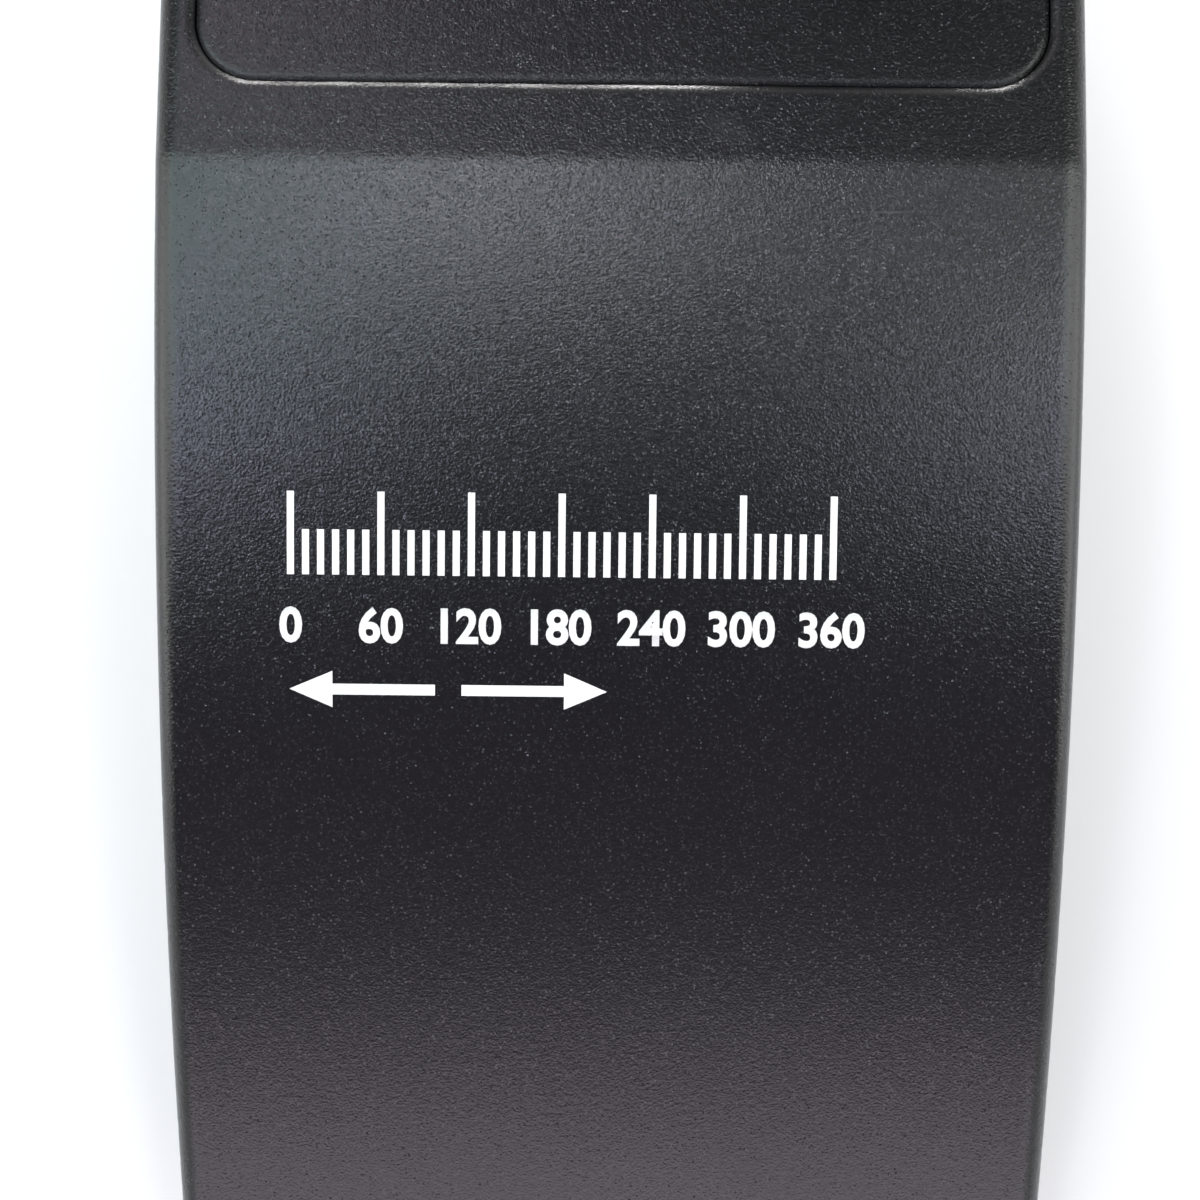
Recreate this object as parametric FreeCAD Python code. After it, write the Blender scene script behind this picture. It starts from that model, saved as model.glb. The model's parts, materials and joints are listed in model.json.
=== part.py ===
import FreeCAD, Part
import math
import os

# Antenna rotator controller: a desktop console with a flat tilted deck at the back, a crease (the ridge)
# across it, and a long convex apron that falls to the front. Millimetres, +X right, +Y to the back, +Z up.
# The origin is on the table, under the middle of the overall length and width.

# ---- casing ----------------------------------------------------------------------------------------------
casing_width = 112.0          # across the ridge, where the sides are widest apart
apron_length = 129.0          # ridge forward to the front wall
deck_length = 85.0            # ridge back to the rear wall
ridge_height = 64.0           # table to the crease between deck and apron
deck_tilt = 4.0               # degrees that the deck rises to the back
apron_radius = 376.0          # the apron's arc, seen from the side
apron_start_slope = 10.0      # degrees that the apron falls where it leaves the ridge
ridge_blend_radius = 9.0
side_bow_radius = 5555.0      # the sides are long arcs in plan
front_corner_radius = 7.0
rear_corner_radius = 8.0
top_edge_radius = 2.8
wall = 2.5
underside_height = 2.0        # table to the flat underside
parting_height = 8.5          # table to the seam between the two shells
seam_gap = 0.4
lip_height = 4.0              # the lower shell's tongue inside the upper shell
lip_thickness = 1.6
lip_clearance = 0.25
foot_edge_radius = 1.0        # rounding under the lower shell
past = 10.0                   # cutting tools run this far past what they cut
tolerance = 0.01              # when edges are told apart by their places

# ---- control panel and its recess, measured in the deck's own plane --------------------------------------
recess_front_margin = 9.5     # ridge to the recess
recess_side_margin = 4.5      # casing's side to the recess
recess_length = 64.0
recess_corner_radius = 7.5
recess_depth = 0.9            # deck surface down to the panel's face
recess_lip_radius = 0.8
panel_gap = 0.2
panel_thickness = 2.5
ledge_width = 3.5
ledge_thickness = 3.0
rim_thickness = 1.5
rim_clearance = 0.2
hook_reach = 0.7              # the snap hooks under the ledge
hook_height = 1.0
hook_length = 8.0
hook_gap = 0.1
hook_root = 0.2               # of the hook, inside the rim

# ---- display window --------------------------------------------------------------------------------------
display_side_margin = 7.0     # recess's side to the window
display_y = 16.0              # from the panel's middle
window_width = 42.0
window_length = 16.0
window_corner_radius = 1.5
window_clearance = 0.1
window_flange = 1.5
window_flange_thickness = 1.0
window_set_back = 0.1

# ---- keys ------------------------------------------------------------------------------------------------
key_names = (("power_key", "turn_left_key", "turn_right_key", "set_key"),
             ("memory_key_1", "memory_key_2", "memory_key_3", "memory_key_4"))
key_row_y = (-1.0, -13.5)
key_pitch = 11.5
key_width = 8.6
key_length = 6.1
key_corner_radius = 1.2
key_clearance = 0.3
key_rise = 1.8                # cap above the panel's face
key_travel = 0.8
key_flange = 0.7
key_flange_thickness = 0.8
key_flange_gap = 0.2
key_stem_radius = 1.65
key_dish_radius = 28.0        # finger hollow in the cap
key_dish_depth = 0.25
key_edge_radius = 0.5

# ---- direction dial --------------------------------------------------------------------------------------
dial_side_margin = 4.0        # recess's side to the ring
dial_y = 4.5
dial_ring_radius = 21.0
dial_ring_bore = 7.5
dial_ring_thickness = 1.3
dial_ring_clearance = 0.15
dial_seat_floor = 1.3         # panel left under the ring
knob_radius = 15.0
knob_top_radius = 13.2
knob_height = 15.0
knob_lift = 0.6               # knob above the ring
knob_edge_radius = 1.0
knob_flutes = 24
knob_flute_radius = 0.9
knob_skirt_height = 3.0
knob_pocket_radius = 7.2
knob_top_wall = 3.2           # knob left over the shaft's end
pointer_width = 1.4
pointer_length = 9.0
pointer_depth = 0.8
set_screw_radius = 1.5
set_screw_length = 6.0
set_screw_height = 7.0        # above the knob's underside
fit_clearance = 0.03          # pieces pushed together

# ---- encoder ---------------------------------------------------------------------------------------------
encoder_body = 12.5
encoder_gap = 0.6             # encoder body under the panel
bushing_radius = 3.5
bushing_hole_clearance = 0.2
bushing_rise = 4.1            # above the seat of the dial
shaft_radius = 3.0
shaft_clearance = 0.05
shaft_tail = 3.4              # in the encoder body
nut_flats = 10.0
nut_sides = 6
nut_height = 2.0
washer_radius = 6.4
washer_thickness = 0.5
nut_room = 0.6                # knob over the bushing
shaft_end_gap = 0.2

# ---- control board, under the panel ----------------------------------------------------------------------
board_drop = 7.6              # panel's underside to the board's face
board_thickness = 1.6
board_margin = 1.0            # inside the ledge
board_corner_radius = 2.0
board_boss_radius = 2.8
board_boss_inset = 9.0        # recess's edge to the bosses
middle_boss_x = 2.6
small_screw_radius = 1.1
small_screw_clearance = 0.1
small_screw_head_radius = 2.1
small_screw_head_height = 1.5
small_screw_bite = 5.0
screw_end_gap = 0.4           # hole past the screw's end
switch_body = 6.0
switch_height = 3.4
switch_well_clearance = 0.1
switch_well_floor = 0.2       # well left under a pressed stem
stem_seat = 1.0               # stem in the well at rest
digit_count = 3
digit_width = 11.3
digit_pitch = 11.5
digit_length = 14.6
digit_gap = 0.8               # digits under the window's flange
digits_shift = -3.75          # leaves room for the receiver
digit_pin_radius = 0.3
digit_pins = 5                # in each of a block's two rows
digit_pin_pitch = 2.03
digit_pin_rows = 10.16
pin_tail = 2.0
receiver_width = 4.8
receiver_length = 6.4
receiver_height = 4.8
receiver_shift = 16.8         # from the window's middle
receiver_dome_radius = 1.9
receiver_dome_sink = 0.6
component_corner_radius = 0.6

# ---- main board, on the floor ----------------------------------------------------------------------------
main_board_width = 88.0
main_board_length = 92.0
main_board_y = -32.0
main_board_thickness = 1.6
main_boss_height = 5.0        # above the floor
main_boss_radius = 3.2
main_boss_inset = 4.0         # from the board's edges
relay_width = 15.5
relay_length = 19.0
relay_height = 15.0
relay_x = (-34.0, -17.0)
relay_y = -4.0
chip_width = 7.6
chip_length = 35.0
chip_height = 3.6
chip_x = 8.0
chip_y = -40.0
chip_lift = 0.5
chip_pins = 14
chip_pin_pitch = 2.54
chip_pin_width = 0.5
chip_pin_thickness = 0.3
chip_pin_root = 0.05          # of the leg, inside the body
chip_edge_radius = 0.3
chip_notch_radius = 1.0
chip_notch_depth = 0.4
crystal_width = 4.6
crystal_length = 11.0
crystal_height = 3.6
crystal_x = -4.0
crystal_y = -50.0
rectifier_width = 20.0
rectifier_length = 6.0
rectifier_height = 15.0
rectifier_x = 30.0
rectifier_y = 3.5
reservoir_radius = 9.0
reservoir_height = 26.0
reservoir_x = 29.0
reservoir_y = -10.0
reservoir_base_height = 1.5
reservoir_step = 0.3          # base past the can
reservoir_edge_radius = 0.8
sink_width = 30.0
sink_height = 22.0
sink_thickness = 2.0
sink_fins = 7
sink_fin_length = 8.0
sink_fin_thickness = 1.0
sink_x = -24.0
sink_y = -30.0
regulator_width = 10.0
regulator_height = 15.0
regulator_thickness = 4.4
regulator_lift = 3.0
regulator_lead_width = 0.8
regulator_lead_pitch = 2.54
fuse_radius = 2.6
fuse_length = 20.0
fuse_cap_length = 5.0
fuse_cap_step = 0.3           # cap past the glass
fuse_x = 28.0
fuse_y = -28.0
fuse_height = 6.0             # axis above the main board
fuse_clip_wall = 0.5
fuse_clip_margin = 1.0        # cap past the clip, both ends together
fuse_clip_width = 6.4
fuse_clip_opening = 2.2
connector_length = 6.0
connector_height = 8.0
ribbon_connector_width = 18.0
ribbon_connector_y = -13.0
lead_connector_width = 8.0
lead_connector_y = 10.0
rotator_connector_x = -10.2
mains_connector_x = 6.0
coil_connector_x = 17.1

# ---- transformer and motor capacitor ---------------------------------------------------------------------
transformer_side_inset = 26.0  # its middle, from the casing's widest place
transformer_inset = 46.3      # its middle, from the rear panel
core_length = 48.0            # along Y
core_height = 40.0
core_stack = 18.0             # along X
core_leg = 8.0                # outer legs; the middle leg is twice as wide
coil_overhang = 9.5           # coil past the core on each side
coil_window_gap = 0.4
bobbin_wall = 1.0
winding_margin = 1.0          # bobbin past the coil, both sides together
winding_corner_radius = 2.0
leg_clearance = 0.1           # bobbin round the middle leg
bracket_thickness = 1.2
bracket_tab = 9.0
bracket_hole_radius = 2.1
bracket_inset = 0.5           # bracket inside the stack's edges
bracket_screw_radius = 1.9
bracket_screw_head_radius = 3.4
bracket_screw_head_height = 2.0
bracket_screw_floor = 0.8     # shell left under the hole
bracket_pad_height = 1.5
capacitor_side_inset = 25.0
capacitor_inset = 44.3        # its middle, from the rear panel
capacitor_radius = 15.0
capacitor_length = 56.0
capacitor_edge_radius = 2.0
capacitor_tag_spacing = 10.0
capacitor_tag_width = 4.8
capacitor_tag_thickness = 0.8
capacitor_tag_reach = 7.5
capacitor_tag_root = 0.5      # of the tag, inside the can
saddle_places = (-16.0, 16.0)  # along the capacitor
saddle_width = 6.0
saddle_wall = 3.0
saddle_clearance = 0.2
saddle_inset = 2.0            # inside the capacitor's sides
saddle_drop = 5.0             # its shoulders below the capacitor's axis
strap_gap = 0.3               # strap's ends above the shoulders
strap_width = 5.0
strap_thickness = 1.2

# ---- rear panel, terminals and mains inlet ---------------------------------------------------------------
terminal_reach = 8.0          # terminal block past the rear wall
rear_panel_thickness = 2.0
rear_panel_gap = 0.2
rear_window_side_inset = 11.0  # each side of the opening, from the casing's widest place
rear_window_height = 52.0     # top of the opening, above the table
rear_panel_overlap = 3.0
rear_rib_width = 4.0
rear_rib_thickness = 2.0
rear_rib_outset = 0.5         # rib past the panel's edge
terminal_side_inset = 31.0    # middle of the block, from the casing's widest place
terminal_z = 30.0
terminal_pitch = 9.5
terminal_count = 3
terminal_height = 13.0
terminal_base = 4.7
terminal_ear = 5.0            # block past the outer barriers
terminal_well_floor = 0.3
barrier_thickness = 1.2
terminal_plate_thickness = 0.8
terminal_plate_gap = 0.2
terminal_plate_margin = 0.5   # block above the plate
terminal_tail_width = 3.0
terminal_tail_clearance = 0.2
terminal_tail_reach = 7.0     # inside the rear panel
terminal_tail_rise = 2.2      # above the block's underside
terminal_screw_radius = 1.5
terminal_screw_clearance = 0.08
terminal_screw_end_gap = 0.4
terminal_head_radius = 3.0
terminal_head_height = 2.2
terminal_slot_width = 0.8
terminal_slot_depth = 1.1
terminal_slot_margin = 0.8    # head left round the slots
terminal_head_edge_radius = 0.5
clamp_washer_side = 7.2
clamp_washer_thickness = 0.8
terminal_post_radius = 1.6
terminal_post_clearance = 0.1
terminal_post_inset = 2.6     # from the block's ends
terminal_post_end = 1.5       # past the rear panel
inlet_side_inset = 26.0
inlet_z = 30.0
inlet_flange_width = 25.0
inlet_flange_height = 17.0
inlet_flange_thickness = 1.8
inlet_flange_corner_radius = 1.5
inlet_body_width = 20.4
inlet_body_height = 12.8
inlet_body_depth = 15.0
inlet_body_corner_radius = 1.0
inlet_clearance = 0.15
socket_width = 16.4
socket_height = 8.8
socket_depth = 12.5
inlet_pin_radius = 1.18
inlet_pin_tip_radius = 0.5
inlet_shank_radius = 1.0      # thinner where the pin goes through the body
inlet_pin_pitch = 8.6
inlet_pin_set_back = 2.0
inlet_tag_length = 3.0
vent_width = 2.0
vent_pitch = 5.0
rear_vent_count = 15
rear_vent_z = 45.5
rear_vent_height = 7.0
floor_vent_count = 7
floor_vent_length = 26.0

# ---- fasteners and feet ----------------------------------------------------------------------------------
case_screw_side_inset = 10.0  # from the casing's widest place
case_screw_front_inset = 27.0
case_screw_rear_inset = 15.0
case_screw_radius = 1.5
case_screw_clearance = 0.1
case_screw_head_radius = 2.9
case_screw_head_height = 2.2
case_screw_length = 18.0
case_post_radius = 4.2
case_post_height = 8.0        # post in the lower shell, above the underside
case_boss_radius = 3.6
case_boss_top = 44.0
case_web_thickness = 2.0      # web from a boss to the side wall
screw_slot_width = 0.8
screw_slot_depth = 0.9
foot_places = ((-41.0, -97.0), (41.0, -97.0), (-41.0, 72.0), (41.0, 72.0))
foot_radius = 7.0
foot_height = 3.0
foot_rim_height = 1.0         # upright part of the foot's side
foot_pocket_clearance = 0.15
foot_taper = 0.6

# ---- leads -----------------------------------------------------------------------------------------------
ribbon_width = 14.0
ribbon_thickness = 0.9
ribbon_bend_radius = 3.0
ribbon_x = 3.0
ribbon_top_y = -14.0          # its upper socket, from the panel's middle
lead_radius = 0.9
lead_bend_radius = 3.4
lead_spacing = 2.6            # between neighbours in a run
lead_turn = 3.9               # straight out of a terminal or pin before the first bend
lead_step = 2.8               # between the levels at which the rotator's leads cross
lead_low_run = 8.5            # lowest crossing, above the floor
lead_entry = 3.2              # leads above the main board at their connectors
lead_straight = 7.0           # straight into a connector

# ---- worked out from the sizes above ---------------------------------------------------------------------
overall_length = apron_length + deck_length + terminal_reach
ridge_y = overall_length / 2 - terminal_reach - deck_length
front_y = ridge_y - apron_length
rear_y = ridge_y + deck_length
roof = ridge_height + deck_length      # a height safely above the casing
floor_top = underside_height + wall
recess_middle = recess_front_margin + recess_length / 2
recess_width = casing_width - 2 * recess_side_margin
display_x = -recess_width / 2 + display_side_margin + window_width / 2
dial_x = recess_width / 2 - dial_side_margin - dial_ring_radius
board_boss_x = recess_width / 2 - board_boss_inset
board_boss_y = recess_length / 2 - board_boss_inset
board_boss_places = ((-board_boss_x, -board_boss_y), (board_boss_x, -board_boss_y),
                     (middle_boss_x, board_boss_y), (board_boss_x, board_boss_y))
panel_face = -recess_depth             # heights in the deck's frame, from the deck's own surface
panel_under = panel_face - panel_thickness
ledge_under = panel_under - ledge_thickness
board_face = panel_under - board_drop
dial_seat = panel_under + dial_seat_floor
ring_top = dial_seat + dial_ring_thickness
knob_under = ring_top + knob_lift
knob_top = knob_under + knob_height
case_screw_x = casing_width / 2 - case_screw_side_inset
case_screw_places = [(side * case_screw_x, y)
                     for y in (front_y + case_screw_front_inset, rear_y - case_screw_rear_inset)
                     for side in (-1, 1)]
rear_panel_outer = rear_y - wall - rear_panel_gap
rear_panel_inner = rear_panel_outer - rear_panel_thickness
transformer_x = casing_width / 2 - transformer_side_inset
transformer_y = rear_panel_inner - transformer_inset
capacitor_x = capacitor_side_inset - casing_width / 2
capacitor_y = rear_panel_inner - capacitor_inset
rear_window_width = casing_width - 2 * rear_window_side_inset
terminal_x = terminal_side_inset - casing_width / 2
inlet_x = casing_width / 2 - inlet_side_inset
terminal_face = rear_panel_outer + terminal_base
terminal_plate_face = terminal_face + terminal_plate_thickness
main_board_top = floor_top + main_boss_height + main_board_thickness
key_column_x = [display_x + (column - 1.5) * key_pitch for column in range(4)]

X = FreeCAD.Vector(1, 0, 0)
Y = FreeCAD.Vector(0, 1, 0)
Z = FreeCAD.Vector(0, 0, 1)


# ---- small tools -----------------------------------------------------------------------------------------
def at(x, y, z):
    return FreeCAD.Vector(x, y, z)


def block(x, y, z, width, length, height):
    """A box whose footprint is centred on x, y and whose underside is at z."""
    return Part.makeBox(width, length, height, at(x - width / 2, y - length / 2, z))


def rod(radius, length, start, direction):
    return Part.makeCylinder(radius, length, start, direction)


def rounded_block(x, y, z, width, length, height, corner):
    """A box with its four upright edges rounded."""
    shape = block(x, y, z, width, length, height)
    return shape.makeFillet(corner, edges_along(shape, Z))


def obround(x, y, z, width, length, height):
    """An upright block, longer along Y, with fully rounded ends."""
    straight = length - width
    ends = [rod(width / 2, height, at(x, y + side * straight / 2, z), Z) for side in (-1, 1)]
    return joined([block(x, y, z, width, straight, height)] + ends)


def joined(shapes):
    return shapes[0].multiFuse(shapes[1:]).removeSplitter() if len(shapes) > 1 else shapes[0]


def without(shape, tools):
    return shape.cut(Part.makeCompound(tools))


def edges_along(shape, direction):
    """The straight edges that run along a direction."""
    return [e for e in shape.Edges if abs(e.tangentAt(e.FirstParameter).dot(direction)) > 1 - tolerance]


def edges_where(shape, test):
    """The edges whose ends and middle all pass the test."""
    found = []
    for edge in shape.Edges:
        first, last = edge.FirstParameter, edge.LastParameter
        if all(test(edge.valueAt(t)) for t in (first, (first + last) / 2, last)):
            found.append(edge)
    return found


deck_frame = FreeCAD.Placement(at(0, ridge_y, ridge_height), FreeCAD.Rotation(X, deck_tilt))
panel_frame = deck_frame.multiply(FreeCAD.Placement(at(0, recess_middle, 0), FreeCAD.Rotation()))


def on_deck(shape):
    """Carries a shape from the panel's frame (origin at the recess's middle, on the deck) to the part's."""
    return shape.transformed(panel_frame.toMatrix())


def screw(place, direction, radius, length, head_radius, head_height):
    """A slotted cap screw that goes in along direction, up or down; place is under its head."""
    head = rod(head_radius, head_height, place, direction * -1)
    body = joined([head, rod(radius, length, place, direction)])
    top = place - direction * head_height
    slot = block(top.x, top.y, top.z - screw_slot_depth, 3 * head_radius, screw_slot_width,
                 2 * screw_slot_depth)
    return body.cut(slot)


def bent_path(points, bend):
    """Straight runs through the points, joined by tangent arcs of one radius."""
    edges = []
    start = points[0]
    for before, corner, after in zip(points, points[1:], points[2:]):
        into = (corner - before).normalize()
        out = (after - corner).normalize()
        half_turn = into.getAngle(out) / 2
        back = bend * math.tan(half_turn)
        first = corner - into * back
        last = corner + out * back
        inward = (out - into).normalize()
        middle = corner + inward * (bend / math.cos(half_turn) - bend)
        edges.append(Part.LineSegment(start, first).toShape())
        edges.append(Part.Arc(first, middle, last).toShape())
        start = last
    edges.append(Part.LineSegment(start, points[-1]).toShape())
    return Part.Wire(edges)


def lead(points):
    """A round insulated wire along the points."""
    path = bent_path(points, lead_bend_radius)
    direction = (points[1] - points[0]).normalize()
    ring = Part.Wire(Part.makeCircle(lead_radius, points[0], direction))
    return path.makePipeShell([ring], True, True)


# ---- casing ----------------------------------------------------------------------------------------------
def plan_prism(inset, low, high):
    """The casing's outline in plan, drawn in by inset, from one height to another."""
    half = casing_width / 2 - inset
    front = front_y + inset
    rear = rear_y - inset
    bow = side_bow_radius - inset

    def side(y):
        return half - bow + math.sqrt(bow ** 2 - (y - ridge_y) ** 2)

    middle = (front + rear) / 2
    corners = [at(side(front), front, low), at(side(rear), rear, low),
               at(-side(rear), rear, low), at(-side(front), front, low)]
    edges = [Part.Arc(corners[0], at(side(middle), middle, low), corners[1]).toShape(),
             Part.LineSegment(corners[1], corners[2]).toShape(),
             Part.Arc(corners[2], at(-side(middle), middle, low), corners[3]).toShape(),
             Part.LineSegment(corners[3], corners[0]).toShape()]
    prism = Part.Face(Part.Wire(edges)).extrude(Z * (high - low))
    for y, radius in ((front, front_corner_radius), (rear, rear_corner_radius)):
        upright = [e for e in edges_along(prism, Z) if abs(e.Vertexes[0].Y - y) < tolerance]
        prism = prism.makeFillet(radius - inset, upright)
    return prism


def roof_solid(inset):
    """Everything under the deck and the apron, drawn in by inset, with the ridge blended."""
    tilt = math.radians(deck_tilt)
    slope = math.radians(apron_start_slope)
    radius = apron_radius - inset
    centre_y = ridge_y + apron_radius * math.sin(slope)
    centre_z = ridge_height - apron_radius * math.cos(slope)
    drop = inset - math.sin(tilt) * (centre_y - ridge_y) + math.cos(tilt) * (centre_z - ridge_height)
    run = math.sqrt(radius ** 2 - drop ** 2)
    crease_y = centre_y + math.sin(tilt) * drop - run * math.cos(tilt)
    crease_z = centre_z - math.cos(tilt) * drop - run * math.sin(tilt)
    front = front_y - wall
    rear = rear_y + wall

    def apron_point(y):
        return at(-casing_width, y, centre_z + math.sqrt(radius ** 2 - (y - centre_y) ** 2))

    crease = at(-casing_width, crease_y, crease_z)
    back_top = at(-casing_width, rear, crease_z + (rear - crease_y) * math.tan(tilt))
    front_low = at(-casing_width, front, 0)
    back_low = at(-casing_width, rear, 0)
    edges = [Part.LineSegment(front_low, apron_point(front)).toShape(),
             Part.Arc(apron_point(front), apron_point((front + crease_y) / 2), crease).toShape(),
             Part.LineSegment(crease, back_top).toShape(),
             Part.LineSegment(back_top, back_low).toShape(),
             Part.LineSegment(back_low, front_low).toShape()]
    solid = Part.Face(Part.Wire(edges)).extrude(X * 2 * casing_width)
    ridge = edges_where(solid, lambda p: abs(p.y - crease_y) < tolerance and p.z > ridge_height / 2)
    return solid.makeFillet(ridge_blend_radius - inset, ridge)


def casing_solid(inset, low):
    """Everything inside the casing's outer surface, drawn in by inset, above a height."""
    return plan_prism(inset, low, roof).common(roof_solid(inset))


def outline_edges(body, low):
    """The edges above low where an upright face meets a sloping one."""
    found = []
    for edge in edges_where(body, lambda p: p.z > low):
        middle = edge.valueAt((edge.FirstParameter + edge.LastParameter) / 2)
        sides = [f for f in body.Faces if any(edge.isSame(e) for e in f.Edges)]
        leans = [abs(f.normalAt(*f.Surface.parameter(middle)).z) for f in sides]
        if min(leans) < tolerance < max(leans):
            found.append(edge)
    return found


def upper_case_surface():
    """The outside of the upper shell as a solid: top edges rounded, recess sunk with its rounded lip."""
    body = casing_solid(0, parting_height + seam_gap / 2)
    body = body.makeFillet(top_edge_radius, outline_edges(body, parting_height + seam_gap))
    pocket = on_deck(rounded_block(0, 0, panel_under, recess_width, recess_length,
                                   panel_thickness + past, recess_corner_radius))
    body = body.cut(pocket)
    back = panel_frame.inverse()

    def is_lip(p):
        q = back.multVec(p)
        inside = abs(q.x) < recess_width / 2 + tolerance and abs(q.y) < recess_length / 2 + tolerance
        return inside and abs(q.z) < tolerance

    return body.makeFillet(recess_lip_radius, edges_where(body, is_lip))


def ledge_frame():
    """The ledge that carries the control panel, in the panel's frame."""
    outer = block(0, 0, ledge_under, casing_width, recess_length + 2 * wall, ledge_thickness)
    opening = rounded_block(0, 0, ledge_under - past, recess_width - 2 * ledge_width,
                            recess_length - 2 * ledge_width, ledge_thickness + 2 * past,
                            recess_corner_radius - ledge_width)
    return outer.cut(opening)


def well_walls():
    """The walls round the recess, from the ledge up to the deck, in the panel's frame."""
    outer = block(0, 0, ledge_under, casing_width, recess_length + 2 * wall, -ledge_under - wall / 2)
    hole = rounded_block(0, 0, ledge_under - past, recess_width, recess_length, -ledge_under + 2 * past,
                         recess_corner_radius)
    return outer.cut(hole)


def upper_shell():
    outside = upper_case_surface()
    inside = casing_solid(wall, parting_height)
    shell = outside.cut(inside)
    core = casing_solid(wall / 2, parting_height + seam_gap)
    ledge = on_deck(ledge_frame().fuse(well_walls())).common(core)
    bosses = [case_boss(x, y).common(core) for x, y in case_screw_places]
    ribs = []
    for side in (-1, 1):
        rib_x = side * (rear_window_width / 2 + rear_panel_overlap + rear_rib_outset - rear_rib_width / 2)
        ribs.append(block(rib_x, rear_panel_inner - rear_panel_gap - rear_rib_thickness / 2,
                          parting_height + lip_height + 2 * seam_gap, rear_rib_width,
                          rear_rib_thickness, roof).common(core))
    shell = joined([shell, ledge] + bosses + ribs)
    pilots = [rod(case_screw_radius + case_screw_clearance,
                  case_screw_length, at(x, y, underside_height), Z) for x, y in case_screw_places]
    window = block(0, rear_y, parting_height - wall, rear_window_width, 3 * wall,
                   rear_window_height - parting_height + wall)
    return without(shell, pilots + [window])


def case_boss(x, y):
    """A boss for a case screw, with a web to the side wall above the lower shell's tongue."""
    low = underside_height + case_post_height
    boss = rod(case_boss_radius, case_boss_top - low, at(x, y, low), Z)
    web_low = parting_height + lip_height + seam_gap
    side = math.copysign(casing_width / 2, x)
    web = block((x + side) / 2, y, web_low, abs(side - x), case_web_thickness, case_boss_top - web_low)
    return boss.fuse(web)


def lower_shell():
    tray = plan_prism(0, underside_height, parting_height - seam_gap / 2)
    under = edges_where(tray, lambda p: p.z < underside_height + tolerance)
    tray = tray.makeFillet(foot_edge_radius, under)
    hollow = plan_prism(wall, floor_top, roof)
    lip_out = plan_prism(wall + lip_clearance, floor_top, parting_height + lip_height)
    lip_in = plan_prism(wall + lip_clearance + lip_thickness, floor_top, roof)
    tray = tray.cut(hollow)
    base = plan_prism(wall / 2, underside_height + wall / 2, floor_top)
    shell = joined([tray, lip_out.cut(lip_in), base])
    posts = [rod(case_post_radius, case_post_height, at(x, y, underside_height), Z)
             for x, y in case_screw_places]
    for x, y in main_screw_places():
        posts.append(rod(main_boss_radius, main_boss_height + wall / 2,
                         at(x, y, floor_top - wall / 2), Z))
    pads = [block(transformer_x, transformer_y + side * bracket_screw_y(), floor_top - wall / 2,
                  core_stack, bracket_tab, bracket_pad_height + wall / 2) for side in (-1, 1)]
    saddles = [saddle(capacitor_y + place) for place in saddle_places]
    shell = joined([shell] + posts + pads + saddles)
    cuts = []
    for x, y in case_screw_places:
        cuts.append(rod(case_screw_radius + case_screw_clearance, roof, at(x, y, 0), Z))
        cuts.append(rod(case_screw_head_radius + case_screw_clearance, screw_seat_height(),
                        at(x, y, 0), Z))
    for x, y in main_screw_places():
        cuts.append(rod(small_screw_radius + small_screw_clearance, small_screw_bite + main_board_thickness,
                        at(x, y, main_board_top), -Z))
    for side in (-1, 1):
        cuts.append(rod(bracket_screw_radius + small_screw_clearance, past,
                        at(transformer_x, transformer_y + side * bracket_screw_y(),
                           underside_height + bracket_screw_floor), Z))
    for x, y in foot_places:
        cuts.append(rod(foot_radius + foot_pocket_clearance, foot_height, at(x, y, 0), Z))
    for n in range(floor_vent_count):
        x = (n - (floor_vent_count - 1) / 2) * vent_pitch
        cuts.append(obround(x, main_board_y, 0, vent_width, floor_vent_length, 2 * floor_top))
    return without(shell, cuts)


def screw_seat_height():
    """Where the case screws' heads bear in the lower shell."""
    return underside_height + case_post_height / 2


def main_screw_places():
    reach_x = main_board_width / 2 - main_boss_inset
    reach_y = main_board_length / 2 - main_boss_inset
    return [(i * reach_x, main_board_y + j * reach_y) for i in (-1, 1) for j in (-1, 1)]


def case_screws():
    return [screw(at(x, y, screw_seat_height()), Z, case_screw_radius,
                  case_screw_length - case_post_height / 2 - screw_end_gap,
                  case_screw_head_radius, case_screw_head_height) for x, y in case_screw_places]


def rubber_feet():
    feet = []
    for x, y in foot_places:
        taper = foot_height - foot_rim_height
        foot = Part.makeCone(foot_radius - foot_taper, foot_radius, taper, at(x, y, 0), Z)
        feet.append(joined([foot, rod(foot_radius, foot_rim_height, at(x, y, taper), Z)]))
    return feet


# ---- control panel, in the panel's frame -----------------------------------------------------------------
def key_places():
    return [(x, y) for y in key_row_y for x in key_column_x]


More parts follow.
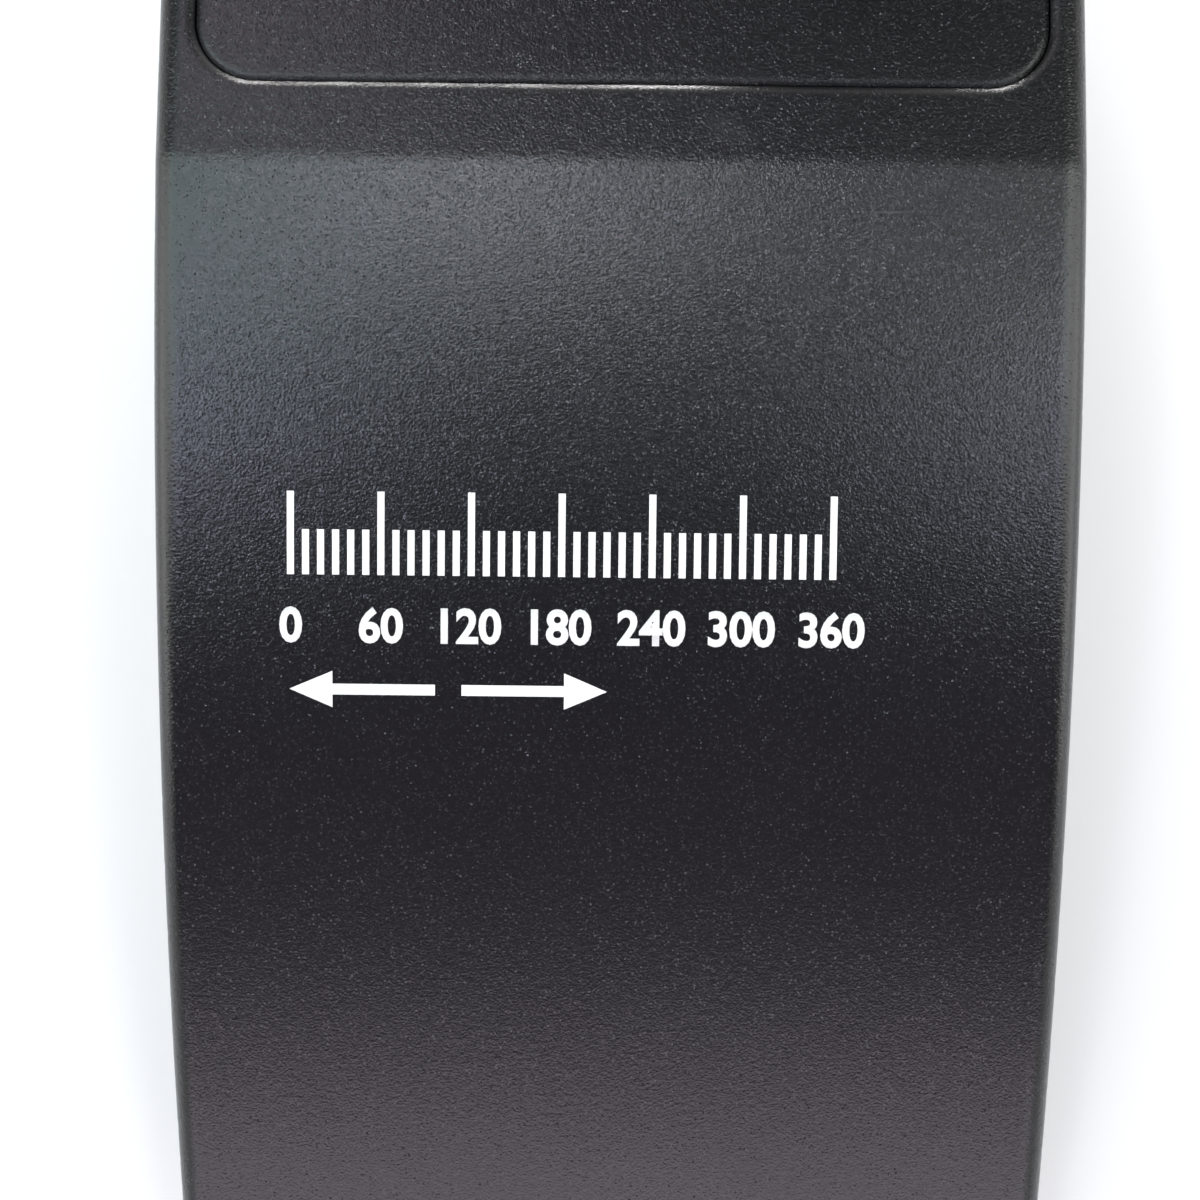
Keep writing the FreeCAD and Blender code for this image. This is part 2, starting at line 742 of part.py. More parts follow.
def control_panel():
    width = recess_width - 2 * panel_gap
    length = recess_length - 2 * panel_gap
    plate = rounded_block(0, 0, panel_under, width, length, panel_thickness,
                          recess_corner_radius - panel_gap)
    opening_x = recess_width - 2 * ledge_width - 2 * rim_clearance
    opening_y = recess_length - 2 * ledge_width - 2 * rim_clearance
    corner = recess_corner_radius - ledge_width - rim_clearance
    rim_height = ledge_thickness + hook_gap + hook_height
    rim = rounded_block(0, 0, panel_under - rim_height, opening_x, opening_y, rim_height, corner)
    rim = rim.cut(rounded_block(0, 0, panel_under - rim_height - past, opening_x - 2 * rim_thickness,
                                opening_y - 2 * rim_thickness, rim_height + 2 * past,
                                corner - rim_thickness))
    hooks = []
    for side in (-1, 1):
        y = side * (opening_y + hook_reach - hook_root) / 2
        hooks.append(block(0, y, panel_under - rim_height, hook_length, hook_reach + hook_root,
                           hook_height))
    bosses = [rod(board_boss_radius, board_drop, at(x, y, board_face), Z) for x, y in board_boss_places]
    panel = joined([plate, rim] + hooks + bosses)
    cuts = [rounded_block(display_x, display_y, panel_under - past, window_width, window_length,
                          2 * past, window_corner_radius)]
    cuts += [rounded_block(x, y, panel_under - past, key_width + 2 * key_clearance,
                           key_length + 2 * key_clearance, 2 * past,
                           key_corner_radius + key_clearance) for x, y in key_places()]
    cuts.append(rod(dial_ring_radius + dial_ring_clearance, past, at(dial_x, dial_y, dial_seat), Z))
    cuts.append(rod(bushing_radius + bushing_hole_clearance, 2 * past,
                    at(dial_x, dial_y, panel_under - past), Z))
    cuts += [rod(small_screw_radius + small_screw_clearance, small_screw_bite, at(x, y, board_face), Z)
             for x, y in board_boss_places]
    return without(panel, cuts)


def display_window():
    """Smoked lens: a flange under the panel and a body that fills the panel's window."""
    body = rounded_block(display_x, display_y, panel_under - window_flange_thickness,
                         window_width - 2 * window_clearance, window_length - 2 * window_clearance,
                         window_flange_thickness + panel_thickness - window_set_back,
                         window_corner_radius - window_clearance)
    flange = block(display_x, display_y, panel_under - window_flange_thickness,
                   window_width + 2 * window_flange, window_length + 2 * window_flange,
                   window_flange_thickness)
    return joined([body, flange])


def key(x, y):
    """A cap with a finger hollow, a flange under the panel that stops it, and a stem for its switch."""
    cap_top = panel_face + key_rise
    flange_top = panel_under - key_flange_gap
    flange_under = flange_top - key_flange_thickness
    cap = rounded_block(x, y, flange_under, key_width, key_length, cap_top - flange_under,
                        key_corner_radius)
    cap = cap.makeFillet(key_edge_radius, edges_where(cap, lambda p: p.z > cap_top - tolerance))
    dish = rod(key_dish_radius, 2 * key_length, at(x, y - key_length, cap_top + key_dish_radius
                                                   - key_dish_depth), Y)
    cap = cap.cut(dish)
    flange = block(x, y, flange_under, key_width + 2 * key_flange, key_length + 2 * key_flange,
                   key_flange_thickness)
    switch_top = board_face + switch_height
    stem = rod(key_stem_radius, flange_under - switch_top + stem_seat,
               at(x, y, switch_top - stem_seat), Z)
    return joined([cap, flange, stem])


def tact_switches():
    switches = []
    for x, y in key_places():
        body = block(x, y, board_face, switch_body, switch_body, switch_height)
        depth = stem_seat + key_travel + switch_well_floor
        well = rod(key_stem_radius + switch_well_clearance, depth, at(x, y, board_face + switch_height), -Z)
        switches.append(body.cut(well))
    return switches


def dial_ring():
    ring = rod(dial_ring_radius, dial_ring_thickness, at(dial_x, dial_y, dial_seat), Z)
    return ring.cut(rod(dial_ring_bore, 2 * past, at(dial_x, dial_y, dial_seat - past), Z))


def shaft_top():
    return knob_top - knob_top_wall


def direction_knob():
    """Turned about the dial's axis: a skirt, a fluted grip and a pocket for the nut."""
    skirt = rod(knob_radius, knob_skirt_height, at(dial_x, dial_y, knob_under), Z)
    grip = Part.makeCone(knob_radius - knob_flute_radius, knob_top_radius,
                         knob_height - knob_skirt_height,
                         at(dial_x, dial_y, knob_under + knob_skirt_height), Z)
    knob = joined([skirt, grip])
    knob = knob.makeFillet(knob_edge_radius, edges_where(knob, lambda p: p.z > knob_top - tolerance))
    cuts = []
    for n in range(knob_flutes):
        turn = 2 * math.pi * (n + 0.5) / knob_flutes
        place = at(dial_x + knob_radius * math.cos(turn), dial_y + knob_radius * math.sin(turn),
                   knob_under + knob_skirt_height)
        lean = at(-(knob_radius - knob_top_radius) * math.cos(turn),
                  -(knob_radius - knob_top_radius) * math.sin(turn), knob_height - knob_skirt_height)
        cuts.append(rod(knob_flute_radius, knob_height, place, lean))
    cuts.append(rod(knob_pocket_radius, bushing_top() + nut_room - knob_under,
                    at(dial_x, dial_y, knob_under), Z))
    cuts.append(rod(shaft_radius + fit_clearance, shaft_top() - knob_under + fit_clearance,
                    at(dial_x, dial_y, knob_under), Z))
    cuts.append(rod(set_screw_radius + fit_clearance, knob_radius,
                    at(dial_x, dial_y, knob_under + set_screw_height), -Y))
    cuts.append(pointer_bar(fit_clearance))
    return without(knob, cuts)


def pointer_bar(clearance):
    middle = dial_y + knob_top_radius - pointer_length / 2
    return block(dial_x, middle, knob_top - pointer_depth, pointer_width + 2 * clearance,
                 pointer_length, pointer_depth + clearance)


def knob_pointer():
    """White line let into the knob's top."""
    edge = rod(knob_top_radius - knob_edge_radius, knob_height, at(dial_x, dial_y, knob_under), Z)
    return pointer_bar(0).common(edge)


def knob_set_screw():
    start_y = dial_y - shaft_radius - fit_clearance
    body = rod(set_screw_radius, set_screw_length, at(dial_x, start_y, knob_under + set_screw_height), -Y)
    slot = block(dial_x, start_y - set_screw_length, knob_under + set_screw_height - screw_slot_width / 2,
                 4 * set_screw_radius, 2 * screw_slot_depth, screw_slot_width)
    return body.cut(slot)


def bushing_top():
    return dial_seat + bushing_rise


def encoder():
    """Encoder body and its threaded bushing, bored for the shaft."""
    top = panel_under - encoder_gap
    body = block(dial_x, dial_y, board_face, encoder_body, encoder_body, top - board_face)
    bushing = rod(bushing_radius, bushing_top() - top, at(dial_x, dial_y, top), Z)
    bore = rod(shaft_radius + shaft_clearance, past + bushing_top() - top + shaft_tail + shaft_end_gap,
               at(dial_x, dial_y, bushing_top() + past), -Z)
    return joined([body, bushing]).cut(bore)


def encoder_shaft():
    low = panel_under - encoder_gap - shaft_tail
    return rod(shaft_radius, shaft_top() - low, at(dial_x, dial_y, low), Z)


def encoder_nut():
    """Washer and hexagon nut that hold the encoder to the panel."""
    washer = rod(washer_radius, washer_thickness, at(dial_x, dial_y, dial_seat), Z)
    corner = nut_flats / 2 / math.cos(math.pi / nut_sides)
    turns = [2 * math.pi * n / nut_sides for n in range(nut_sides + 1)]
    points = [at(dial_x + corner * math.cos(turn), dial_y + corner * math.sin(turn),
                 dial_seat + washer_thickness) for turn in turns]
    nut = Part.Face(Part.makePolygon(points)).extrude(Z * nut_height)
    bore = rod(bushing_radius + fit_clearance, 2 * past, at(dial_x, dial_y, dial_seat - past), Z)
    return [washer.cut(bore), nut.cut(bore)]


def control_board():
    width = recess_width - 2 * ledge_width - 2 * board_margin
    length = recess_length - 2 * ledge_width - 2 * board_margin
    board = rounded_block(0, 0, board_face - board_thickness, width, length, board_thickness,
                          board_corner_radius)
    holes = [rod(small_screw_radius + small_screw_clearance, 2 * past, at(x, y, board_face + past), -Z)
             for x, y in board_boss_places]
    holes += [rod(digit_pin_radius + small_screw_clearance, 2 * past, at(x, y, board_face + past), -Z)
              for x, y in digit_pin_places()]
    return without(board, holes)


def control_board_screws():
    return [screw(at(x, y, board_face - board_thickness), Z, small_screw_radius,
                  small_screw_bite + board_thickness - screw_end_gap, small_screw_head_radius,
                  small_screw_head_height) for x, y in board_boss_places]


def digit_centres():
    middle = display_x + digits_shift
    return [middle + (n - (digit_count - 1) / 2) * digit_pitch for n in range(digit_count)]


def digit_pin_places():
    return [(x + (n - (digit_pins - 1) / 2) * digit_pin_pitch, display_y + side * digit_pin_rows / 2)
            for x in digit_centres() for n in range(digit_pins) for side in (-1, 1)]


def digit_top():
    return panel_under - window_flange_thickness - digit_gap


def led_digits():
    """Three seven-segment blocks with their pins."""
    pins = digit_pin_places()
    blocks = []
    for number, x in enumerate(digit_centres()):
        body = block(x, display_y, board_face, digit_width, digit_length, digit_top() - board_face)
        own = pins[2 * digit_pins * number:2 * digit_pins * (number + 1)]
        rods = [rod(digit_pin_radius, board_thickness + pin_tail, at(px, py, board_face), -Z)
                for px, py in own]
        blocks.append(joined([body] + rods))
    return blocks


def infrared_receiver():
    x = display_x + receiver_shift
    body = block(x, display_y, board_face, receiver_width, receiver_length, receiver_height)
    dome = Part.makeSphere(receiver_dome_radius,
                           at(x, display_y, board_face + receiver_height - receiver_dome_sink))
    return joined([body, dome])


# ---- main board ------------------------------------------------------------------------------------------
def main_board():
    board = rounded_block(0, main_board_y, main_board_top - main_board_thickness, main_board_width,
                          main_board_length, main_board_thickness, board_corner_radius)
    holes = [rod(small_screw_radius + small_screw_clearance, 2 * past, at(x, y, main_board_top + past), -Z)
             for x, y in main_screw_places()]
    return without(board, holes)


def main_board_screws():
    return [screw(at(x, y, main_board_top), -Z, small_screw_radius,
                  small_screw_bite + main_board_thickness - screw_end_gap, small_screw_head_radius,
                  small_screw_head_height) for x, y in main_screw_places()]


def relays():
    return [rounded_block(x, relay_y, main_board_top, relay_width, relay_length, relay_height,
                          component_corner_radius)
            for x in relay_x]


def microcontroller():
    """A dual-in-line package with its two rows of legs."""
    body = block(chip_x, chip_y, main_board_top + chip_lift, chip_width, chip_length, chip_height)
    body = body.makeFillet(chip_edge_radius, body.Edges)
    notch = rod(chip_notch_radius, past,
                at(chip_x, chip_y + chip_length / 2,
                   main_board_top + chip_lift + chip_height - chip_notch_depth), Z)
    body = body.cut(notch)
    legs = []
    for n in range(chip_pins):
        y = chip_y + (n - (chip_pins - 1) / 2) * chip_pin_pitch
        for side in (-1, 1):
            x = chip_x + side * (chip_width / 2 + chip_pin_thickness / 2 - chip_pin_root)
            legs.append(block(x, y, main_board_top, chip_pin_thickness, chip_pin_width,
                              chip_lift + chip_height / 2))
    return joined([body] + legs)


def crystal():
    return obround(crystal_x, crystal_y, main_board_top, crystal_width, crystal_length, crystal_height)


def bridge_rectifier():
    return rounded_block(rectifier_x, rectifier_y, main_board_top, rectifier_width, rectifier_length,
                         rectifier_height, component_corner_radius)


def reservoir_capacitor():
    base = rod(reservoir_radius, reservoir_base_height, at(reservoir_x, reservoir_y, main_board_top), Z)
    top = main_board_top + reservoir_height
    can = rod(reservoir_radius - reservoir_step, reservoir_height - reservoir_base_height,
              at(reservoir_x, reservoir_y, main_board_top + reservoir_base_height), Z)
    can = can.makeFillet(reservoir_edge_radius, edges_where(can, lambda p: p.z > top - tolerance))
    return joined([base, can])


def heat_sink():
    """A finned plate that stands on the main board behind the regulator."""
    plate = block(sink_x, sink_y, main_board_top, sink_width, sink_thickness, sink_height)
    fins = []
    for n in range(sink_fins):
        x = sink_x + (n / (sink_fins - 1) - 0.5) * (sink_width - sink_fin_thickness)
        fins.append(block(x, sink_y + sink_thickness / 2 + sink_fin_length / 2, main_board_top,
                          sink_fin_thickness, sink_fin_length, sink_height))
    return joined([plate] + fins)


def voltage_regulator():
    y = sink_y - sink_thickness / 2 - regulator_thickness / 2
    body = block(sink_x, y, main_board_top + regulator_lift, regulator_width, regulator_thickness,
                 regulator_height)
    legs = [block(sink_x + n * regulator_lead_pitch, y, main_board_top, regulator_lead_width,
                  regulator_lead_width, regulator_lift) for n in (-1, 0, 1)]
    return joined([body] + legs)


def fuse():
    """Glass tube between two metal caps, along X."""
    z = main_board_top + fuse_height
    tube = rod(fuse_radius - fuse_cap_step, fuse_length, at(fuse_x - fuse_length / 2, fuse_y, z), X)
    caps = [rod(fuse_radius, fuse_cap_length, at(fuse_x + start, fuse_y, z), X)
            for start in (-fuse_length / 2, fuse_length / 2 - fuse_cap_length)]
    return joined([tube] + caps)


def fuse_clips():
    clips = []
    z = main_board_top + fuse_height
    for side in (-1, 1):
        x = fuse_x + side * (fuse_length - fuse_cap_length) / 2
        width = fuse_cap_length - fuse_clip_margin
        ring = rod(fuse_radius + fit_clearance + fuse_clip_wall, width, at(x - width / 2, fuse_y, z), X)
        foot = block(x, fuse_y, main_board_top, width, fuse_clip_width / 2, fuse_height)
        clip = joined([ring, foot])
        bore = rod(fuse_radius + fit_clearance, 2 * past, at(x - past, fuse_y, z), X)
        mouth = block(x, fuse_y, z, 2 * past, fuse_clip_opening, past)
        clips.append(without(clip, [bore, mouth]))
    return clips


def board_connectors():
    """The ribbon's two sockets and the three that take the leads along the main board's rear edge."""
    top = upper_socket_top()
    sockets = [block(ribbon_x, ribbon_connector_y, main_board_top, ribbon_connector_width,
                     connector_length, connector_height),
               block(ribbon_x, top.y, top.z - connector_height, ribbon_connector_width,
                     connector_length, connector_height)]
    for x in (rotator_connector_x, mains_connector_x, coil_connector_x):
        sockets.append(block(x, lead_connector_y, main_board_top, lead_connector_width,
                             connector_length, connector_height))
    return sockets


def upper_socket_top():
    """Where the upper socket hangs: it touches the control board along its front edge."""
    place = panel_frame.multVec(at(ribbon_x, ribbon_top_y, board_face - board_thickness))
    return place - Z * (connector_length / 2 * math.tan(math.radians(deck_tilt)))


def ribbon_cable():
    """A flat cable from the upper socket down to the lower one."""
    high = upper_socket_top() - Z * connector_height
    low = at(ribbon_x, ribbon_connector_y, main_board_top + connector_height)
    middle = (high.z + low.z) / 2
    points = [high, at(high.x, high.y, middle), at(low.x, low.y, middle), low]
    path = bent_path(points, ribbon_bend_radius)
    corners = [high + at(i * ribbon_width / 2, j * ribbon_thickness / 2, 0)
               for i, j in ((-1, -1), (1, -1), (1, 1), (-1, 1), (-1, -1))]
    return path.makePipeShell([Part.makePolygon(corners)], True, True)


# ---- transformer and motor capacitor ---------------------------------------------------------------------
def bracket_screw_y():
    return core_length / 2 + bracket_thickness + bracket_tab / 2


def core_under():
    return floor_top + bracket_pad_height


def transformer_core():
    """Laminations round the coil's two windows."""
    core = block(transformer_x, transformer_y, core_under(), core_stack, core_length, core_height)
    window_length = core_length / 2 - 2 * core_leg
    windows = [block(transformer_x, transformer_y + side * (core_leg + window_length / 2),
                     core_under() + core_leg, 2 * core_stack, window_length,
                     core_height - 2 * core_leg) for side in (-1, 1)]
    return without(core, windows)


def coil_sizes():
    """Length and height of the coil, which fills the two windows and wraps the middle leg."""
    length = core_length - 2 * core_leg - 2 * coil_window_gap
    height = core_height - 2 * core_leg - 2 * coil_window_gap
    return length, height


def transformer_bobbin():
    """Moulded former: a sleeve on the middle leg with a flange at each end of the coil."""
    length, height = coil_sizes()
    span = core_stack + 2 * coil_overhang
    z = core_under() + core_leg + coil_window_gap
    flanges = [block(transformer_x + side * (span - bobbin_wall) / 2, transformer_y, z, bobbin_wall,
                     length, height) for side in (-1, 1)]
    sleeve = block(transformer_x, transformer_y, z, span, 2 * core_leg + 2 * bobbin_wall, height)
    former = joined([sleeve] + flanges)
    leg = block(transformer_x, transformer_y, z - past, core_stack + 2 * leg_clearance,
                2 * core_leg + 2 * leg_clearance, height + 2 * past)
    return former.cut(leg)


def transformer_winding():
    """Copper under tape, wound on the former."""
    length, height = coil_sizes()
    span = core_stack + 2 * coil_overhang - 2 * bobbin_wall
    z = core_under() + core_leg + coil_window_gap
    coil = rounded_block(transformer_x, transformer_y, z, span, length - winding_margin, height,
                         winding_corner_radius)
    return coil.cut(block(transformer_x, transformer_y, z - past, 2 * span,
                          2 * core_leg + 2 * bobbin_wall, height + 2 * past))


def transformer_bracket():
    """A strap over the core with a drilled foot at each end."""
    outer = core_length + 2 * bracket_thickness
    width = core_stack - 2 * bracket_inset
    strap = block(transformer_x, transformer_y, core_under(), width, outer,
                  core_height + bracket_thickness)
    strap = strap.cut(block(transformer_x, transformer_y, core_under() - past, 2 * core_stack,
                            core_length, core_height + past))
    feet = [block(transformer_x, transformer_y + side * bracket_screw_y(), core_under(),
                  width, bracket_tab, bracket_thickness) for side in (-1, 1)]
    holes = [rod(bracket_hole_radius, 2 * past, at(transformer_x, transformer_y + side * bracket_screw_y(),
                                                   core_under() - past), Z) for side in (-1, 1)]
    return without(joined([strap] + feet), holes)


def transformer_screws():
    return [screw(at(transformer_x, transformer_y + side * bracket_screw_y(),
                     core_under() + bracket_thickness), -Z, bracket_screw_radius,
                  core_under() + bracket_thickness - underside_height - bracket_screw_floor - screw_end_gap,
                  bracket_screw_head_radius, bracket_screw_head_height) for side in (-1, 1)]


def capacitor_height():
    """Height of the motor capacitor's axis."""
    return floor_top + saddle_wall + saddle_clearance + capacitor_radius


def saddle(y):
    """A cradle on the floor under the motor capacitor."""
    low = floor_top - wall / 2
    post = block(capacitor_x, y, low, 2 * (capacitor_radius - saddle_inset), saddle_width,
                 capacitor_height() - saddle_drop - low)
    bed = rod(capacitor_radius + saddle_clearance, 2 * past,
              at(capacitor_x, y - past, capacitor_height()), Y)
    return post.cut(bed)


def motor_capacitor():
    can = rod(capacitor_radius, capacitor_length,
              at(capacitor_x, capacitor_y - capacitor_length / 2, capacitor_height()), Y)
    can = can.makeFillet(capacitor_edge_radius, [e for e in can.Edges if e.Closed])
    front = capacitor_y - capacitor_length / 2
    tags = [block(capacitor_x + side * capacitor_tag_spacing / 2,
                  front + (capacitor_tag_root - capacitor_tag_reach) / 2,
                  capacitor_height() - capacitor_tag_width / 2, capacitor_tag_thickness,
                  capacitor_tag_reach + capacitor_tag_root, capacitor_tag_width) for side in (-1, 1)]
    return joined([can] + tags)


def capacitor_straps():
    """Bands round the capacitor and under each cradle's shoulders."""
    straps = []
    inner = capacitor_radius + fit_clearance
    for place in saddle_places:
        y = capacitor_y + place - strap_width / 2
        band = rod(inner + strap_thickness, strap_width, at(capacitor_x, y, capacitor_height()), Y)
        band = band.cut(rod(inner, 2 * past, at(capacitor_x, y - past, capacitor_height()), Y))
        below = block(capacitor_x, y, 0, 4 * capacitor_radius, 2 * past,
                      capacitor_height() - saddle_drop + strap_gap)
        straps.append(band.cut(below))
    return straps


# ---- rear panel ------------------------------------------------------------------------------------------
def rear_panel():
    width = rear_window_width + 2 * rear_panel_overlap
    low = parting_height + lip_height + seam_gap
    high = rear_window_height + rear_panel_overlap
    plate = Part.makeBox(width, rear_panel_thickness, high - low, at(-width / 2, rear_panel_inner, low))
    middle = rear_panel_inner + rear_panel_thickness / 2
    cuts = [upright_slot(inlet_x, middle, inlet_z, inlet_body_width + 2 * inlet_clearance,
                         inlet_body_height + 2 * inlet_clearance)]
    for x in terminal_places():
        cuts.append(upright_slot(x, middle, tail_z(), terminal_tail_width + 2 * terminal_tail_clearance,
                                 terminal_plate_thickness + 2 * terminal_tail_clearance))
    for x in terminal_post_places():
        cuts.append(rod(terminal_post_radius + terminal_post_clearance, past,
                        at(x, rear_y, terminal_z), -Y))
    for n in range(rear_vent_count):
        x = (n - (rear_vent_count - 1) / 2) * vent_pitch
        cuts.append(upright_slot(x, middle, rear_vent_z, vent_width, rear_vent_height))
    return without(plate, cuts)


def upright_slot(x, y, z, width, height):
    """A cutter through the rear panel, centred on x and z."""
    return block(x, y, z - height / 2, width, 3 * rear_panel_thickness, height)


def terminal_places():
    return [terminal_x + (n - (terminal_count - 1) / 2) * terminal_pitch for n in range(terminal_count)]


def terminal_block_width():
    return terminal_count * terminal_pitch + barrier_thickness + 2 * terminal_ear


def terminal_post_places():
    reach = terminal_block_width() / 2 - terminal_post_inset
    return [terminal_x - reach, terminal_x + reach]


def tail_z():
    return terminal_z - terminal_height / 2 + terminal_tail_rise


def terminal_block():
    """A barrier strip on the rear panel's outside, with a well for each screw."""
    base = Part.makeBox(terminal_block_width(), terminal_base, terminal_height,
                        at(terminal_x - terminal_block_width() / 2, rear_panel_outer,
                           terminal_z - terminal_height / 2))
    depth = rear_y + terminal_reach - rear_panel_outer
    barriers = []
    for n in range(terminal_count + 1):
        x = terminal_x + (n - terminal_count / 2) * terminal_pitch
        barriers.append(Part.makeBox(barrier_thickness, depth, terminal_height,
                                     at(x - barrier_thickness / 2, rear_panel_outer,
                                        terminal_z - terminal_height / 2)))
    posts = [rod(terminal_post_radius, rear_panel_thickness + terminal_post_end,
                 at(x, rear_panel_outer, terminal_z), -Y) for x in terminal_post_places()]
    body = joined([base] + barriers + posts)
    wells = []
    for x in terminal_places():
        wells.append(rod(terminal_screw_radius + terminal_screw_clearance,
                         terminal_base - terminal_well_floor, at(x, terminal_face, terminal_z), -Y))
        wells.append(upright_slot(x, rear_panel_outer + terminal_base / 2, tail_z(),
                                  terminal_tail_width + 2 * terminal_tail_clearance,
                                  terminal_plate_thickness + 2 * terminal_tail_clearance))
    return without(body, wells)


def terminal_plates():
    """Contact plates on the block's face, each with a solder tail through the rear panel."""
    plates = []
    side = terminal_pitch - barrier_thickness - 2 * terminal_plate_gap
    for x in terminal_places():
        low = tail_z() - terminal_plate_thickness / 2
        height = terminal_z + terminal_height / 2 - terminal_plate_margin - low
        plate = Part.makeBox(side, terminal_plate_thickness, height, at(x - side / 2, terminal_face, low))
        reach = terminal_face + terminal_plate_thickness - rear_panel_inner + terminal_tail_reach
        tail = Part.makeBox(terminal_tail_width, reach, terminal_plate_thickness,
                            at(x - terminal_tail_width / 2, terminal_plate_face - reach, low))
        hole = rod(terminal_screw_radius + terminal_screw_clearance, 2 * past,
                   at(x, terminal_face - past, terminal_z), Y)
        plates.append(joined([plate, tail]).cut(hole))
    return plates


def clamp_washer(x):
    """Square washer that the screw presses on the wire."""
    side = clamp_washer_side
    plate = Part.makeBox(side, clamp_washer_thickness, side,
                         at(x - side / 2, terminal_plate_face, terminal_z - side / 2))
    return plate.cut(rod(terminal_screw_radius + terminal_screw_clearance, 2 * past,
                         at(x, terminal_plate_face - past, terminal_z), Y))


def terminal_screw(x):
    """Binding-head screw with a cross slot, tight on its washer."""
    under_head = terminal_plate_face + clamp_washer_thickness
    place = at(x, under_head, terminal_z)
    head = rod(terminal_head_radius, terminal_head_height, place, Y)
    rim = edges_where(head, lambda p: p.y > under_head + terminal_head_height - tolerance)
    head = head.makeFillet(terminal_head_edge_radius, rim)
    length = under_head - rear_panel_outer - terminal_well_floor - terminal_screw_end_gap
    shank = rod(terminal_screw_radius, length, place, -Y)
    slot_length = 2 * (terminal_head_radius - terminal_slot_margin)
    slots = []
    for width, height in ((slot_length, terminal_slot_width), (terminal_slot_width, slot_length)):
        slots.append(Part.makeBox(width, past, height,
                                  at(x - width / 2, under_head + terminal_head_height - terminal_slot_depth,
                                     terminal_z - height / 2)))
    return without(joined([head, shank]), slots)


def mains_inlet():
    """Two-pin figure-of-eight socket: flange outside the rear panel, body through it."""
    outer = rear_panel_outer + inlet_flange_thickness
    flange = rounded_plate(inlet_x, rear_panel_outer, inlet_z, inlet_flange_width,
                           inlet_flange_thickness, inlet_flange_height, inlet_flange_corner_radius)
    body = rounded_plate(inlet_x, outer - inlet_body_depth, inlet_z, inlet_body_width,
                         inlet_body_depth, inlet_body_height, inlet_body_corner_radius)
    lobes = [rod(socket_height / 2, socket_depth, at(inlet_x + side * (socket_width - socket_height) / 2,
                                                     outer, inlet_z), -Y) for side in (-1, 1)]
    bridge = Part.makeBox(socket_width - socket_height, socket_depth, socket_height,
                          at(inlet_x - (socket_width - socket_height) / 2, outer - socket_depth,
                             inlet_z - socket_height / 2))
    holes = [rod(inlet_shank_radius, 2 * inlet_body_depth, at(x, outer, inlet_z), -Y)
             for x in inlet_pin_places()]
    return without(joined([flange, body]), lobes + [bridge] + holes)


def rounded_plate(x, y, z, width, depth, height, corner):
    """An upright plate centred on x and z, from y towards +Y, with its corners rounded."""
    plate = Part.makeBox(width, depth, height, at(x - width / 2, y, z - height / 2))
    return plate.makeFillet(corner, edges_along(plate, Y))


def inlet_pin_places():
    return [inlet_x - inlet_pin_pitch / 2, inlet_x + inlet_pin_pitch / 2]


def inlet_pins():
    """Contact pins that stand in the socket, with thinner shanks through its floor to the leads."""
    outer = rear_panel_outer + inlet_flange_thickness
    tip_y = outer - inlet_pin_set_back
    shank = inlet_body_depth - socket_depth + inlet_tag_length
    pins = []
    for x in inlet_pin_places():
        pin = rod(inlet_pin_radius, socket_depth - inlet_pin_set_back, at(x, tip_y, inlet_z), -Y)
        pin = pin.makeFillet(inlet_pin_tip_radius, edges_where(pin, lambda p: p.y > tip_y - tolerance))
        pins.append(joined([pin, rod(inlet_shank_radius, shank, at(x, outer - socket_depth, inlet_z), -Y)]))
    return pins


# ---- leads -----------------------------------------------------------------------------------------------
def lead_row(middle, count):
    """Places of neighbouring leads, side by side about a middle."""
    return [middle + (n - (count - 1) / 2) * lead_spacing for n in range(count)]


def into_connector(x, z):
    """The last two points of a lead that enters a connector on the main board from behind."""
    face = lead_connector_y + connector_length / 2
    return [at(x, face + lead_straight, z), at(x, face, z)]


def rotator_leads():
    """Three leads from the terminals' tails, round the motor capacitor's end, to the main board."""
    leads = []
    start = rear_panel_inner - terminal_tail_reach
    cross = start - lead_turn
    runs = lead_row(rotator_connector_x, terminal_count)
    for number, x in enumerate(terminal_places()):
        level = floor_top + lead_low_run + lead_step * number
        points = [at(x, start, tail_z()), at(x, cross, tail_z()), at(x, cross, level),
                  at(runs[number], cross, level)]
        leads.append(lead(points + into_connector(runs[number], main_board_top + lead_entry)))
    return leads


def mains_leads():
    """Two leads from the inlet's pins, past the transformer's rear, to the main board."""
    leads = []
    start = rear_panel_outer + inlet_flange_thickness - inlet_body_depth - inlet_tag_length
    cross = start - lead_turn
    runs = lead_row(mains_connector_x, 2)
    near, far = inlet_pin_places()
    below = inlet_z - 2 * lead_bend_radius - lead_radius
    routes = ((runs[1], [at(near, start, inlet_z), at(near, cross, inlet_z)], inlet_z),
              (runs[0], [at(far, start, inlet_z), at(far, cross, inlet_z), at(far, cross, below)], below))
    for x, points, level in routes:
        points = points + [at(x, cross, level)]
        leads.append(lead(points + into_connector(x, main_board_top + lead_entry)))
    return leads


def coil_leads():
    """Primary and secondary leads from the coil's front to the main board, two over two."""
    leads = []
    start = transformer_y - (coil_sizes()[0] - winding_margin) / 2
    for x in lead_row(coil_connector_x, 2):
        for level in (0, 1):
            high = core_under() + core_height / 2 + level * 2 * lead_bend_radius
            points = [at(x, start, high), at(x, start - lead_straight, high)]
            leads.append(lead(points + into_connector(x, main_board_top + lead_entry
                                                      + level * lead_spacing)))
    return leads


